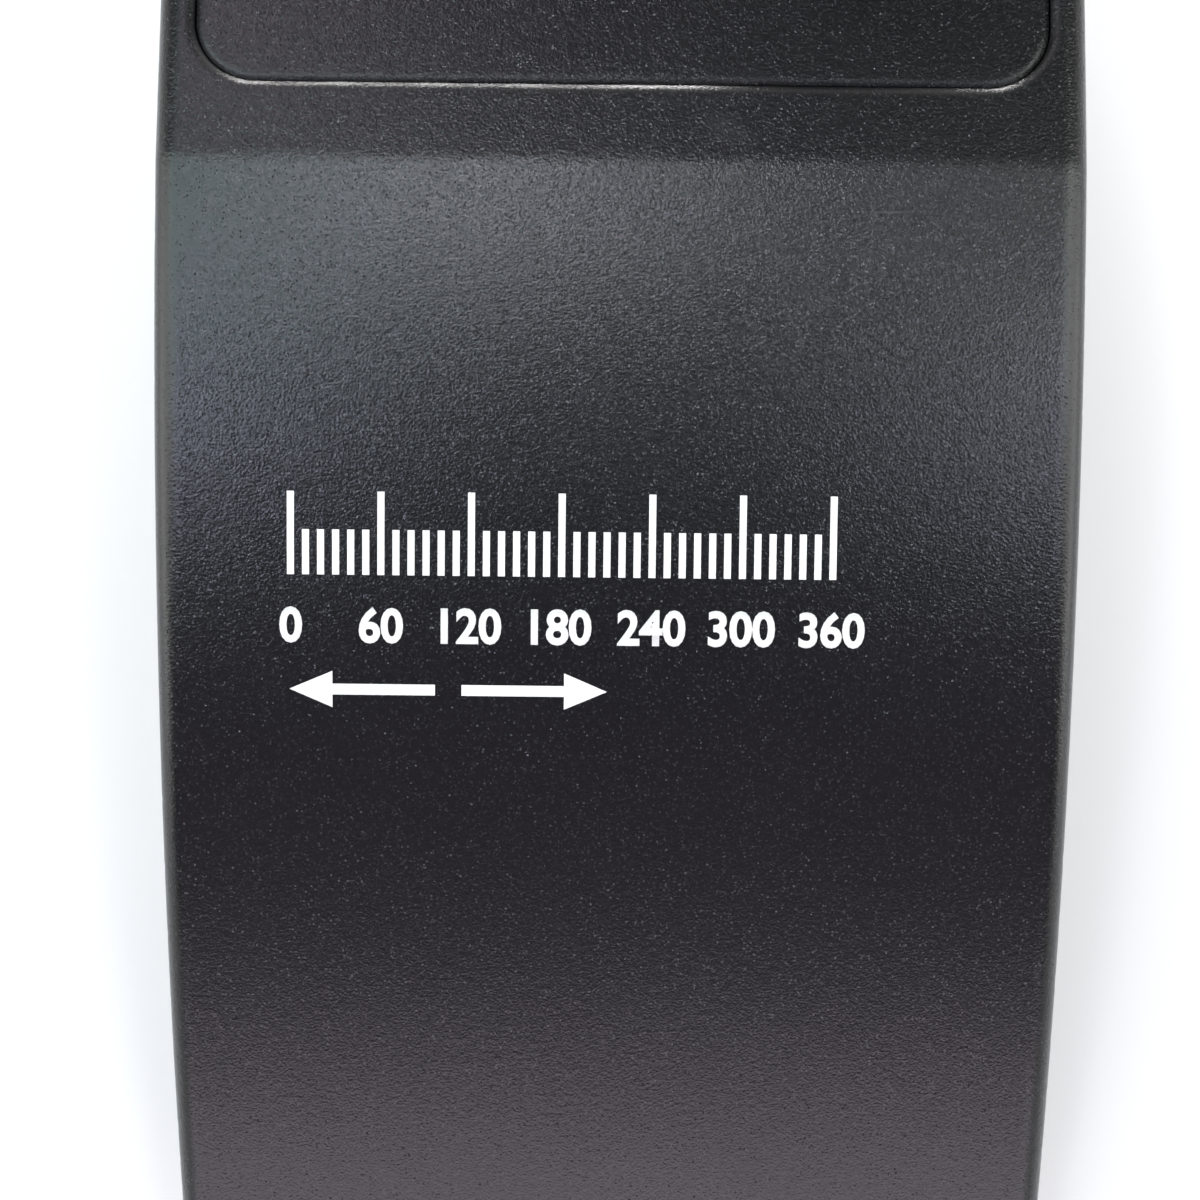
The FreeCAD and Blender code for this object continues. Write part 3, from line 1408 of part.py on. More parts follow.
# ---- write every sub-part --------------------------------------------------------------------------------
def save(name, shapes):
    """Writes one node: a solid or a group of separate solids."""
    shapes = shapes if isinstance(shapes, list) else [shapes]
    solids = [solid for shape in shapes for solid in shape.Solids]
    assert solids and all(s.isValid() and s.Volume > 0 for s in solids), name
    shape = solids[0] if len(solids) == 1 else Part.makeCompound(solids)
    shape.exportStep(os.path.join("parts", name + ".step"))
    box = shape.BoundBox
    print(f"{name}: {len(solids)} solids, {shape.Volume:.1f} mm3, x {box.XMin:.2f} {box.XMax:.2f} "
          f"y {box.YMin:.2f} {box.YMax:.2f} z {box.ZMin:.2f} {box.ZMax:.2f}")


def deck_group(shapes):
    shapes = shapes if isinstance(shapes, list) else [shapes]
    return [on_deck(shape) for shape in shapes]


def main():
    os.makedirs("parts", exist_ok=True)
    save("upper_shell", upper_shell())
    save("lower_shell", lower_shell())
    save("case_screws", case_screws())
    save("rubber_feet", rubber_feet())
    save("control_panel", deck_group(control_panel()))
    save("display_window", deck_group(display_window()))
    for (x, y), name in zip(key_places(), [n for row in key_names for n in row]):
        save(name, deck_group(key(x, y)))
    save("tact_switches", deck_group(tact_switches()))
    save("dial_ring", deck_group(dial_ring()))
    save("direction_knob", deck_group(direction_knob()))
    save("knob_pointer", deck_group(knob_pointer()))
    save("knob_set_screw", deck_group(knob_set_screw()))
    save("encoder", deck_group(encoder()))
    save("encoder_shaft", deck_group(encoder_shaft()))
    save("encoder_nut", deck_group(encoder_nut()))
    save("control_board", deck_group(control_board()))
    save("control_board_screws", deck_group(control_board_screws()))
    save("led_digits", deck_group(led_digits()))
    save("infrared_receiver", deck_group(infrared_receiver()))
    save("main_board", main_board())
    save("main_board_screws", main_board_screws())
    save("relays", relays())
    save("microcontroller", microcontroller())
    save("crystal", crystal())
    save("bridge_rectifier", bridge_rectifier())
    save("reservoir_capacitor", reservoir_capacitor())
    save("heat_sink", heat_sink())
    save("voltage_regulator", voltage_regulator())
    save("fuse", fuse())
    save("fuse_clips", fuse_clips())
    save("board_connectors", board_connectors())
    save("ribbon_cable", ribbon_cable())
    save("transformer_core", transformer_core())
    save("transformer_bobbin", transformer_bobbin())
    save("transformer_winding", transformer_winding())
    save("transformer_bracket", transformer_bracket())
    save("transformer_screws", transformer_screws())
    save("motor_capacitor", motor_capacitor())
    save("capacitor_straps", capacitor_straps())
    save("rear_panel", rear_panel())
    save("terminal_block", terminal_block())
    save("terminal_plates", terminal_plates())
    for number, x in enumerate(terminal_places(), 1):
        save(f"clamp_washer_{number}", clamp_washer(x))
        save(f"terminal_screw_{number}", terminal_screw(x))
    save("mains_inlet", mains_inlet())
    save("inlet_pins", inlet_pins())
    save("rotator_leads", rotator_leads())
    save("mains_leads", mains_leads())
    save("coil_leads", coil_leads())


main()
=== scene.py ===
import json
import math
import bmesh
import bpy
from mathutils import Matrix, Vector
from mathutils.bvhtree import BVHTree


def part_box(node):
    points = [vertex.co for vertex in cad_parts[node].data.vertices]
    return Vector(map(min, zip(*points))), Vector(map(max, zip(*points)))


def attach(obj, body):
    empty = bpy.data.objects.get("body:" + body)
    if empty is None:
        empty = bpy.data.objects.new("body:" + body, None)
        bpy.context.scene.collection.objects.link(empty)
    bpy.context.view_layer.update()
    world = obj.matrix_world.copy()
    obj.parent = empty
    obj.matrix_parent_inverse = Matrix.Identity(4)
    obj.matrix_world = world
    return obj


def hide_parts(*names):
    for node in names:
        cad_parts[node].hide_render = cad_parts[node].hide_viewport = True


# Antenna rotator controller: a black desktop console with a tilted deck and a long convex apron.
# Everything is in metres, with +Y to the back and the table at zero.
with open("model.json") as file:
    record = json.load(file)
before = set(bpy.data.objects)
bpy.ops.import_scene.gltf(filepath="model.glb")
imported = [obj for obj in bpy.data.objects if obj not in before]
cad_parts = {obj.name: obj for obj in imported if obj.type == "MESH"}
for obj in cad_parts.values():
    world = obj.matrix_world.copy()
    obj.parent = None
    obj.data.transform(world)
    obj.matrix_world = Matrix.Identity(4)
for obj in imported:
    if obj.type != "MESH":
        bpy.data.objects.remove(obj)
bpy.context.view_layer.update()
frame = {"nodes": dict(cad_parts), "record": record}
mm = 0.001
print("frame loaded:", len(frame["nodes"]), "nodes")


# small tools that the pieces share

def linearColour(hexText, alpha=1.0):
    # sRGB hex to the linear values that the sockets take
    channels = [int(hexText[i:i + 2], 16) / 255 for i in (1, 3, 5)]
    linear = [c / 12.92 if c <= 0.04045 else ((c + 0.055) / 1.055) ** 2.4 for c in channels]
    return (*linear, alpha)


def addNode(tree, kind, settings=None, links=None):
    # settings whose name is a socket go to that socket, the others to the node itself
    node = tree.nodes.new(kind)
    for name, value in (settings or {}).items():
        if isinstance(name, int) or (not hasattr(node, name) and name in node.inputs):
            node.inputs[name].default_value = value
        else:
            setattr(node, name, value)
    for name, socket in (links or {}).items():
        tree.links.new(socket, node.inputs[name])
    return node


def startMaterial(name):
    # an empty material, its tree, and the Object coordinates that its patterns lie on
    material = bpy.data.materials.new(name)
    material.use_nodes = True
    material.node_tree.nodes.clear()
    place = addNode(material.node_tree, "ShaderNodeTexCoord").outputs["Object"]
    return material, material.node_tree, place


def finishMaterial(tree, constants, patterns):
    # what is the same all over is set on the shader itself, and what varies is linked to it
    shader = addNode(tree, "ShaderNodeBsdfPrincipled", constants, patterns)
    addNode(tree, "ShaderNodeOutputMaterial", None, {"Surface": shader.outputs["BSDF"]})


# the number sockets of a Map Range node, in their order
rangeInputs = ("From Min", "From Max", "To Min", "To Max")


def patchyColour(tree, pattern, limits, first, second):
    # the first colour where the pattern is under its limits, the second over them, a mix between
    share = addNode(tree, "ShaderNodeMapRange", dict(zip(rangeInputs, limits)),
                    {"Value": pattern}).outputs["Result"]
    # a Mix node's two colours are its inputs 6 and 7
    return addNode(tree, "ShaderNodeMix",
                   {"data_type": "RGBA", 6: linearColour(first), 7: linearColour(second)},
                   {"Factor": share}).outputs[2]


# the camera stands above the front edge and looks down on the apron

cameraPlace = {
    "target": Vector((0.0, -36.0, 46.0)) * mm,
    "distance": 330.0 * mm,
    "elevation": math.radians(79.08),
    "yaw": math.radians(-0.44),
    "roll": math.radians(0.20),
    "focalPixels": 2704.0,
    "centrePixel": (615.9, 633.0),
    "imageSize": 1200.0,
    "sensorWidth": 36.0,
    "clip": (0.01, 10.0),
}


def makeCamera(place):
    yaw, elevation, roll = place["yaw"], place["elevation"], place["roll"]
    ahead = Vector((math.sin(yaw) * math.cos(elevation), math.cos(yaw) * math.cos(elevation),
                    -math.sin(elevation)))
    across = Vector((math.cos(yaw), -math.sin(yaw), 0.0))
    up = across.cross(ahead)
    right = across * math.cos(roll) + up * math.sin(roll)
    top = up * math.cos(roll) - across * math.sin(roll)
    data = bpy.data.cameras.new("camera")
    data.sensor_width = place["sensorWidth"]
    data.lens = place["sensorWidth"] * place["focalPixels"] / place["imageSize"]
    data.shift_x = 0.5 - place["centrePixel"][0] / place["imageSize"]
    data.shift_y = place["centrePixel"][1] / place["imageSize"] - 0.5
    data.clip_start, data.clip_end = place["clip"]
    camera = bpy.data.objects.new("camera", data)
    bpy.context.scene.collection.objects.link(camera)
    turn = Matrix((right, top, -ahead)).transposed().to_4x4()
    camera.matrix_world = Matrix.Translation(place["target"] - ahead * place["distance"]) @ turn
    bpy.context.scene.camera = camera


makeCamera(cameraPlace)
print("camera made")


# materials: each is named for the real stuff and how its surface was made

# limits are the values of a noise between which it goes over to its patches
usualMoulding = {"patchSize": 5 * mm, "patchDetail": 3.0, "patchLimits": (0.35, 0.7),
                 "glossLimits": (0.3, 0.7), "roughnessDrift": 0.05, "ior": 1.53,
                 "grainSize": 0.3 * mm, "grainRoughness": 0.6, "grainDepth": 0.003 * mm}
usualPlating = {"patchDetail": 4.0, "patchLimits": (0.3, 0.75), "glossLimits": (0.3, 0.75),
                "grainRoughness": 0.7}


def patchySurface(name, look, roughness, constants):
    # slow patches that shift the colour and the gloss together, over a fine grain
    material, tree, place = startMaterial(name)
    patches = addNode(tree, "ShaderNodeTexNoise",
                      {"Scale": 1 / look["patchSize"], "Detail": look["patchDetail"]},
                      {"Vector": place}).outputs["Fac"]
    colour = patchyColour(tree, patches, look["patchLimits"], look["colour"], look["patchColour"])
    gloss = addNode(tree, "ShaderNodeMapRange",
                    dict(zip(rangeInputs, (*look["glossLimits"], *roughness))),
                    {"Value": patches}).outputs["Result"]
    grain = addNode(tree, "ShaderNodeTexNoise",
                    {"Scale": 1 / look["grainSize"], "Roughness": look["grainRoughness"]},
                    {"Vector": place}).outputs["Fac"]
    normal = addNode(tree, "ShaderNodeBump", {"Distance": look["grainDepth"]}, {"Height": grain})
    finishMaterial(tree, constants,
                   {"Base Color": colour, "Roughness": gloss, "Normal": normal.outputs["Normal"]})
    return material


def mouldedPlastic(name, differences):
    # moulded parts: a fine grain from the mould, and slow drifts of gloss from handling
    look = {**usualMoulding, **differences}
    roughness = [look["roughness"] + way * look["roughnessDrift"] for way in (-1, 1)]
    return patchySurface(name, look, roughness, {"IOR": look["ior"]})


def platedMetal(name, differences):
    # plated or drawn metal: cloudy gloss and the fine marks of tumbling or drawing
    look = {**usualPlating, **differences}
    return patchySurface(name, look, (look["roughness"], look["patchRoughness"]), {"Metallic": 1.0})


# ABS moulded in a spark-eroded tool: near black and softly glossy, with fine pits, and here and there
# a tiny facet that leans out and throws a glint, and whose lighter, partly metal colour is a painted glint
casingLook = {
    "colour": "#0d0d0f",
    "worn": "#131315",
    "scuffed": "#3c3c3f",
    "roughness": 0.22,
    "roughnessDrift": 0.015,
    "scuffRoughness": 0.25,
    "scuffLimits": (0.35, 0.6),
    "ior": 1.53,
    "drift": {"Scale": 1 / (22.0 * mm), "Detail": 4.0, "Roughness": 0.6},
    "pits": {"Scale": 1 / (0.30 * mm), "Detail": 1.5, "Roughness": 0.6},
    "lumps": {"Scale": 1 / (0.75 * mm), "Detail": 2.0, "Roughness": 0.5},
    "wornLimits": (0.45, 0.75),
    "glossLimits": (0.3, 0.7),
    "pitDepth": 0.045 * mm,
    "lumpDepth": 0.02 * mm,
    "edgeRadius": 1.5 * mm,
    "edgeSamples": 6,
    "facetSpacing": 0.34 * mm,
    "facetWidth": 0.30 * mm,
    "facetRim": (1.15, 0.75),    # where its edge ends and its full part starts, as shares of half its width
    "facetShare": 0.7,
    "facetLean": 0.18,
    # the facets' lighter colour and their metal below are a painted glint
    "paintedGlintColour": "#2c2c2e",
    "facetMetal": 0.3,
}

# a short scratch beside the panel and a faint smear near its lip: middle, half sizes and turn of each
casingMarks = (
    {"middle": Vector((32.4, 12.2, 62.9)) * mm, "reach": Vector((2.9, 0.16, 2.0)) * mm, "turn": 0.0,
     "strength": 0.8},
    {"middle": Vector((13.0, 21.8, 64.2)) * mm, "reach": Vector((4.6, 2.2, 4.0)) * mm,
     "turn": math.radians(-38), "strength": 0.12},
)
markLimits = (0.0, 0.6)     # a mark grows from its rim, at 0, and is full well before its middle, at 1


def wearMark(tree, place, plan):
    # a soft spot, full round its middle and nothing at its rim
    centred = addNode(tree, "ShaderNodeMapping",
                      {"vector_type": "TEXTURE", "Location": plan["middle"],
                       "Rotation": (0.0, 0.0, plan["turn"]), "Scale": plan["reach"]},
                      {"Vector": place}).outputs["Vector"]
    spot = addNode(tree, "ShaderNodeTexGradient", {"gradient_type": "SPHERICAL"},
                   {"Vector": centred}).outputs["Fac"]
    return addNode(tree, "ShaderNodeMapRange",
                   dict(zip(rangeInputs, (*markLimits, 0.0, plan["strength"]))),
                   {"Value": spot}).outputs["Result"]


def leaningFacets(tree, place, look, under):
    # round facets at random places: how much of each point belongs to one, and the normal there
    cells = addNode(tree, "ShaderNodeTexVoronoi", {"Scale": 1 / look["facetSpacing"]}, {"Vector": place})
    rim = [share * look["facetWidth"] / look["facetSpacing"] / 2 for share in look["facetRim"]]
    inside = addNode(tree, "ShaderNodeMapRange", dict(zip(rangeInputs, rim)),
                     {"Value": cells.outputs["Distance"]}).outputs["Result"]
    chance = addNode(tree, "ShaderNodeTexWhiteNoise", None, {"Vector": cells.outputs["Position"]})
    chosen = addNode(tree, "ShaderNodeMapRange", {"From Min": 1 - look["facetShare"], "From Max": 1.0},
                     {"Value": chance.outputs["Value"]}).outputs["Result"]
    amount = addNode(tree, "ShaderNodeMath", {"operation": "MULTIPLY"},
                     {0: inside, 1: chosen}).outputs["Value"]
    side = addNode(tree, "ShaderNodeVectorMath", {"operation": "SUBTRACT", 1: (0.5, 0.5, 0.5)},
                   {0: cells.outputs["Color"]}).outputs["Vector"]
    slope = addNode(tree, "ShaderNodeMath", {"operation": "MULTIPLY", 1: 2 * look["facetLean"]},
                    {0: amount}).outputs["Value"]
    lean = addNode(tree, "ShaderNodeVectorMath", {"operation": "SCALE"}, {0: side, "Scale": slope})
    leaning = addNode(tree, "ShaderNodeVectorMath", {"operation": "ADD"},
                      {0: under, 1: lean.outputs["Vector"]}).outputs["Vector"]
    normal = addNode(tree, "ShaderNodeVectorMath", {"operation": "NORMALIZE"}, {0: leaning})
    return amount, normal.outputs["Vector"]


def sparkErodedAbs(name, look):
    material, tree, place = startMaterial(name)
    drift, pits, lumps = (addNode(tree, "ShaderNodeTexNoise", look[kind], {"Vector": place}).outputs["Fac"]
                          for kind in ("drift", "pits", "lumps"))
    colour = patchyColour(tree, drift, look["wornLimits"], look["colour"], look["worn"])
    roughness = [look["roughness"] + way * look["roughnessDrift"] for way in (1, -1)]
    gloss = addNode(tree, "ShaderNodeMapRange",
                    dict(zip(rangeInputs, (*look["glossLimits"], *roughness))),
                    {"Value": drift}).outputs["Result"]
    normal = addNode(tree, "ShaderNodeBevel", {"samples": look["edgeSamples"],
                                               "Radius": look["edgeRadius"]}).outputs["Normal"]
    for height, depth in ((lumps, look["lumpDepth"]), (pits, look["pitDepth"])):
        normal = addNode(tree, "ShaderNodeBump", {"Distance": depth},
                         {"Height": height, "Normal": normal}).outputs["Normal"]
    facet, normal = leaningFacets(tree, place, look, normal)
    # each facet is painted lighter and a little metallic, a painted glint, on top of the real lean of its
    # normal
    metal = addNode(tree, "ShaderNodeMath", {"operation": "MULTIPLY", 1: look["facetMetal"]},
                    {0: facet}).outputs["Value"]
    overlays = [(facet, look["paintedGlintColour"])]
    grazed = addNode(tree, "ShaderNodeMapRange", dict(zip(rangeInputs, look["scuffLimits"])),
                     {"Value": pits}).outputs["Result"]
    for mark in casingMarks:
        spot = wearMark(tree, place, mark)
        scuff = addNode(tree, "ShaderNodeMath", {"operation": "MULTIPLY"}, {0: spot, 1: grazed})
        overlays.append((scuff.outputs["Value"], look["scuffed"]))
        gloss = addNode(tree, "ShaderNodeMath", {"operation": "MULTIPLY_ADD", 1: look["scuffRoughness"]},
                        {0: spot, 2: gloss}).outputs["Value"]
    for share, tint in overlays:
        colour = addNode(tree, "ShaderNodeMix", {"data_type": "RGBA", 7: linearColour(tint)},
                         {"Factor": share, 6: colour}).outputs[2]
    finishMaterial(tree, {"IOR": look["ior"]},
                   {"Base Color": colour, "Metallic": metal, "Roughness": gloss, "Normal": normal})
    return material


casingAbs = sparkErodedAbs("ABS, black, spark eroded", casingLook)

# the rear plate comes from a plainer tool: same resin, finer and more matt
rearAbs = mouldedPlastic("ABS, black, fine matt", {
    "colour": "#1b1b1c", "patchColour": "#222223", "patchSize": 15 * mm, "roughness": 0.5,
    "grainSize": 0.2 * mm, "grainDepth": 0.006 * mm})
# nitrile rubber feet: no shine at all, a little chalky where they rub
rubber = mouldedPlastic("nitrile rubber, moulded", {
    "colour": "#1f1f20", "patchColour": "#2d2c2b", "patchSize": 4 * mm, "roughness": 0.82,
    "roughnessDrift": 0.08, "ior": 1.52, "grainSize": 0.35 * mm, "grainDepth": 0.012 * mm})
# phenolic knob: harder and smoother than the case, with a soft satin line along each edge
phenolic = mouldedPlastic("phenolic, black, satin moulded", {
    "colour": "#141415", "patchColour": "#1b1b1c", "patchSize": 6 * mm, "roughness": 0.3,
    "roughnessDrift": 0.04, "ior": 1.6, "grainSize": 0.12 * mm, "grainDepth": 0.0015 * mm})
terminalPhenolic = mouldedPlastic("phenolic, black, moulded block", {
    "colour": "#151515", "patchColour": "#1d1d1c", "roughness": 0.38, "ior": 1.6,
    "grainSize": 0.15 * mm})
dialAbs = mouldedPlastic("ABS, black, satin moulded", {
    "colour": "#161617", "patchColour": "#1c1c1d", "patchSize": 12 * mm, "roughness": 0.36,
    "roughnessDrift": 0.04, "grainSize": 0.16 * mm})
# key caps: grey and red ABS, faintly textured so that fingers don't slip
greyKeyAbs = mouldedPlastic("ABS, grey, fine textured", {
    "colour": "#5d5f62", "patchColour": "#66686a", "roughness": 0.42, "roughnessDrift": 0.06,
    "grainSize": 0.2 * mm, "grainDepth": 0.006 * mm})
redKeyAbs = mouldedPlastic("ABS, red, fine textured", {
    "colour": "#a3201a", "patchColour": "#ad2a22", "roughness": 0.42, "roughnessDrift": 0.06,
    "grainSize": 0.2 * mm, "grainDepth": 0.006 * mm})
blackNylon = mouldedPlastic("nylon, black, moulded", {
    "colour": "#171718", "patchColour": "#1f1f20", "patchSize": 6 * mm, "roughness": 0.34})
naturalNylon = mouldedPlastic("nylon, natural, moulded", {
    "colour": "#e4dfcf", "patchColour": "#d9d2bd", "patchSize": 4 * mm, "roughness": 0.4,
    "grainDepth": 0.004 * mm})
relayPolyester = mouldedPlastic("polyester, blue, gloss moulded", {
    "colour": "#1f4a9c", "patchColour": "#2451a4", "roughness": 0.22, "roughnessDrift": 0.04,
    "ior": 1.57, "grainSize": 0.4 * mm, "grainDepth": 0.002 * mm})
# screen ink: a thin white film with a trace of the grain below showing through
whiteInk = mouldedPlastic("screen ink, white", {
    "colour": "#fafaf8", "patchColour": "#f0f0ed", "patchSize": 1.2 * mm, "roughness": 0.5,
    "roughnessDrift": 0.06, "ior": 1.5, "grainSize": 0.26 * mm, "grainDepth": 0.006 * mm})
whiteEnamel = mouldedPlastic("enamel, white, filled line", {
    "colour": "#efefe9", "patchColour": "#e2e2da", "patchSize": 1.5 * mm, "roughness": 0.3, "ior": 1.5})
yellowTape = mouldedPlastic("polyester tape, yellow, wound", {
    "colour": "#c9a227", "patchColour": "#b58f1d", "patchSize": 6 * mm, "roughness": 0.25, "ior": 1.57,
    "grainSize": 0.8 * mm, "grainDepth": 0.02 * mm})
leadPvc = mouldedPlastic("PVC, red, extruded", {
    "colour": "#8f1d18", "patchColour": "#9c2922", "patchSize": 8 * mm, "roughness": 0.35, "ior": 1.54,
    "grainSize": 0.5 * mm, "grainDepth": 0.002 * mm})
ribbonPvc = mouldedPlastic("PVC, grey, ribbon", {
    "colour": "#8d8f91", "patchColour": "#84868a", "patchSize": 8 * mm, "roughness": 0.45, "ior": 1.54,
    "grainSize": 0.9 * mm, "grainDepth": 0.02 * mm})
displayEpoxy = mouldedPlastic("epoxy, dark grey, cast face", {
    "colour": "#2b2727", "patchColour": "#312c2c", "roughness": 0.5, "roughnessDrift": 0.04,
    "ior": 1.5})
milkyEpoxy = mouldedPlastic("epoxy, milky diffusing", {
    "colour": "#9b938c", "patchColour": "#8f8880", "patchSize": 2 * mm, "roughness": 0.45,
    "roughnessDrift": 0.04, "ior": 1.5, "grainDepth": 0.002 * mm})

# zinc plate with a clear passivate: bright but cloudy
zincSteel = platedMetal("steel, zinc plated", {
    "colour": "#c4c6c8", "patchColour": "#a4a6a6", "patchSize": 1.5 * mm, "roughness": 0.24,
    "patchRoughness": 0.4, "grainSize": 0.15 * mm, "grainDepth": 0.003 * mm})
nickelBrass = platedMetal("brass, nickel plated", {
    "colour": "#c9c3b4", "patchColour": "#b3aa95", "patchSize": 2.0 * mm, "roughness": 0.18,
    "patchRoughness": 0.34, "grainSize": 0.2 * mm, "grainDepth": 0.002 * mm})
drawnAluminium = platedMetal("aluminium, drawn", {
    "colour": "#c8c9cb", "patchColour": "#b4b5b8", "patchSize": 5.0 * mm, "roughness": 0.28,
    "patchRoughness": 0.42, "grainSize": 0.3 * mm, "grainDepth": 0.004 * mm})
extrudedAluminium = platedMetal("aluminium, extruded, etched", {
    "colour": "#9b9c9f", "patchColour": "#8a8b8e", "patchSize": 5.0 * mm, "roughness": 0.42,
    "patchRoughness": 0.55, "grainSize": 0.25 * mm, "grainDepth": 0.008 * mm})


# clear stuff, with slow smears of haze. The lens is dark until something behind it is lit
lensLook = {"colour": "#8c1c16", "smears": {"Scale": 1 / (9 * mm), "Detail": 3.0},
            "smearLimits": (0.45, 0.8), "roughness": (0.03, 0.06), "ior": 1.49}
tubeLook = {"colour": "#f1f5f4", "smears": {"Scale": 1 / (3 * mm), "Detail": 2.0},
            "smearLimits": (0.4, 0.8), "roughness": (0.02, 0.08), "ior": 1.52}


def clearStuff(name, look):
    material, tree, place = startMaterial(name)
    smears = addNode(tree, "ShaderNodeTexNoise", look["smears"], {"Vector": place}).outputs["Fac"]
    haze = addNode(tree, "ShaderNodeMapRange",
                   dict(zip(rangeInputs, (*look["smearLimits"], *look["roughness"]))), {"Value": smears})
    finishMaterial(tree, {"Base Color": linearColour(look["colour"]), "Transmission Weight": 1.0,
                          "IOR": look["ior"]}, {"Roughness": haze.outputs["Result"]})
    return material


# glass fibre board under green lacquer: a faint weave, with tracks in relief
boardLook = {
    "lacquer": "#1c5a2e",
    "track": "#2f7a3f",
    "tracks": {"Scale": 1.0, "Brick Width": 12.7 * mm, "Row Height": 2.54 * mm, "Mortar Size": 0.635 * mm},
    "trackDepth": 0.03 * mm,
    "weave": {"Scale": 1 / (0.5 * mm), "Detail": 1.0},
    "weaveLimits": (0.3, 0.7),
    "roughness": (0.25, 0.35),
    "ior": 1.55,
}


def lacqueredBoard(look):
    material, tree, place = startMaterial("glass fibre board, green lacquer")
    tracks = addNode(tree, "ShaderNodeTexBrick", look["tracks"], {"Vector": place}).outputs["Fac"]
    colour = addNode(tree, "ShaderNodeMix", {"data_type": "RGBA", 6: linearColour(look["track"]),
                                             7: linearColour(look["lacquer"])}, {"Factor": tracks})
    weave = addNode(tree, "ShaderNodeTexNoise", look["weave"], {"Vector": place}).outputs["Fac"]
    gloss = addNode(tree, "ShaderNodeMapRange",
                    dict(zip(rangeInputs, (*look["weaveLimits"], *look["roughness"]))), {"Value": weave})
    normal = addNode(tree, "ShaderNodeBump", {"Distance": look["trackDepth"]}, {"Height": tracks})
    finishMaterial(tree, {"IOR": look["ior"]},
                   {"Base Color": colour.outputs[2], "Roughness": gloss.outputs["Result"],
                    "Normal": normal.outputs["Normal"]})
    return material


# stacked silicon steel sheets, varnished: the edges show as fine parallel lines
laminationLook = {"steel": "#3a3735", "varnish": "#1d1a18", "sheet": 0.7 * mm, "depth": 0.05 * mm,
                  "metal": 0.6, "roughness": 0.38}


def laminatedSteel(look):
    material, tree, place = startMaterial("silicon steel, laminated and varnished")
    # a Wave texture's bands repeat each pi / (10 * its scale), which is one sheet here
    bands = addNode(tree, "ShaderNodeTexWave",
                    {"bands_direction": "X", "Scale": math.pi / (10 * look["sheet"]), "Distortion": 0.0},
                    {"Vector": place}).outputs["Fac"]
    colour = addNode(tree, "ShaderNodeMix", {"data_type": "RGBA", 6: linearColour(look["varnish"]),
                                             7: linearColour(look["steel"])}, {"Factor": bands})
    normal = addNode(tree, "ShaderNodeBump", {"Distance": look["depth"]}, {"Height": bands})
    finishMaterial(tree, {"Metallic": look["metal"], "Roughness": look["roughness"]},
                   {"Base Color": colour.outputs[2], "Normal": normal.outputs["Normal"]})
    return material


# a segment of the display, lit: red light through a diffusing cavity, unevenly bright in soft patches
segmentLook = {"colour": "#ff2a12", "edge": "#c81408", "strength": 5.0, "roughness": 0.5,
               "unevenness": {"Scale": 1 / (1.4 * mm), "Detail": 1.0}, "edgeLimits": (0.3, 0.7)}


def litSegment(look):
    material, tree, place = startMaterial("LED cavity, red, lit")
    uneven = addNode(tree, "ShaderNodeTexNoise", look["unevenness"], {"Vector": place}).outputs["Fac"]
    glow = patchyColour(tree, uneven, look["edgeLimits"], look["colour"], look["edge"])
    finishMaterial(tree, {"Emission Strength": look["strength"], "Roughness": look["roughness"]},
                   {"Base Color": glow, "Emission Color": glow})
    return material


smokedLens = clearStuff("acrylic, smoked red, polished", lensLook)
greenBoard = lacqueredBoard(boardLook)
laminatedCore = laminatedSteel(laminationLook)
redSegment = litSegment(segmentLook)
drawnGlass = clearStuff("soda glass, drawn", tubeLook)

finishOf = {
    "casing": casingAbs, "panel": casingAbs, "rear_plate": rearAbs, "foot": rubber,
    "smoked_lens": smokedLens, "knob": phenolic, "white_mark": whiteEnamel, "dial": dialAbs,
    "grey_key": greyKeyAbs, "red_key": redKeyAbs, "steel": zincSteel, "contact": nickelBrass,
    "housing": blackNylon, "terminal_body": terminalPhenolic, "board": greenBoard,
    "display": displayEpoxy, "relay": relayPolyester, "can": drawnAluminium,
    "sink": extrudedAluminium, "fuse_glass": drawnGlass, "nylon": naturalNylon, "ribbon": ribbonPvc,
    "laminations": laminatedCore, "winding": yellowTape, "lead": leadPvc,
}


def dressNodes():
    for part in frame["record"]["subparts"]:
        for slot in frame["nodes"][part["node"]].material_slots:
            slot.material = finishOf[part["material_slot"]]


dressNodes()
print("materials made and given to the CAD nodes")


# thin printed films and small trim, drawn flat and then laid on the CAD surface below them

def surfaceOf(node):
    work = bmesh.new()
    work.from_mesh(frame["nodes"][node].data)
    tree = BVHTree.FromBMesh(work)
    work.free()
    return tree


def placeAt(origin, right, out):
    # the frame of a drawing: x to the right, y up, z out of the surface
    right, out = Vector(right).normalized(), Vector(out).normalized()
    turn = Matrix((right, out.cross(right), out)).transposed().to_4x4()
    return Matrix.Translation(origin) @ turn


letterSteps = 4     # along each curve of a letter


def addLettering(drawing, text, height, x=0.0, y=0.0, turn=0.0, weight=0.0):
    # numbers in a plain face, centred on x, y
    curve = bpy.data.curves.new("lettering", "FONT")
    curve.body = text
    curve.resolution_u = letterSteps
    curve.offset = weight
    holder = bpy.data.objects.new("lettering", curve)
    flat = bpy.data.meshes.new_from_object(holder)
    across = [v.co.x for v in flat.vertices]
    upright = [v.co.y for v in flat.vertices]
    middle = Vector((min(across) + max(across), min(upright) + max(upright), 0)) / 2
    scale = height / (max(upright) - min(upright))
    flat.transform(Matrix.Translation((x, y, 0)) @ Matrix.Rotation(turn, 4, "Z") @ Matrix.Scale(scale, 4)
                   @ Matrix.Translation(-middle))
    drawing.from_mesh(flat)
    bpy.data.objects.remove(holder)
    bpy.data.curves.remove(curve)
    bpy.data.meshes.remove(flat)


def addOutline(drawing, points):
    drawing.faces.new([drawing.verts.new((x, y, 0)) for x, y in points])


narrowestMitre = 0.3    # keeps the corner of a sharp bend short


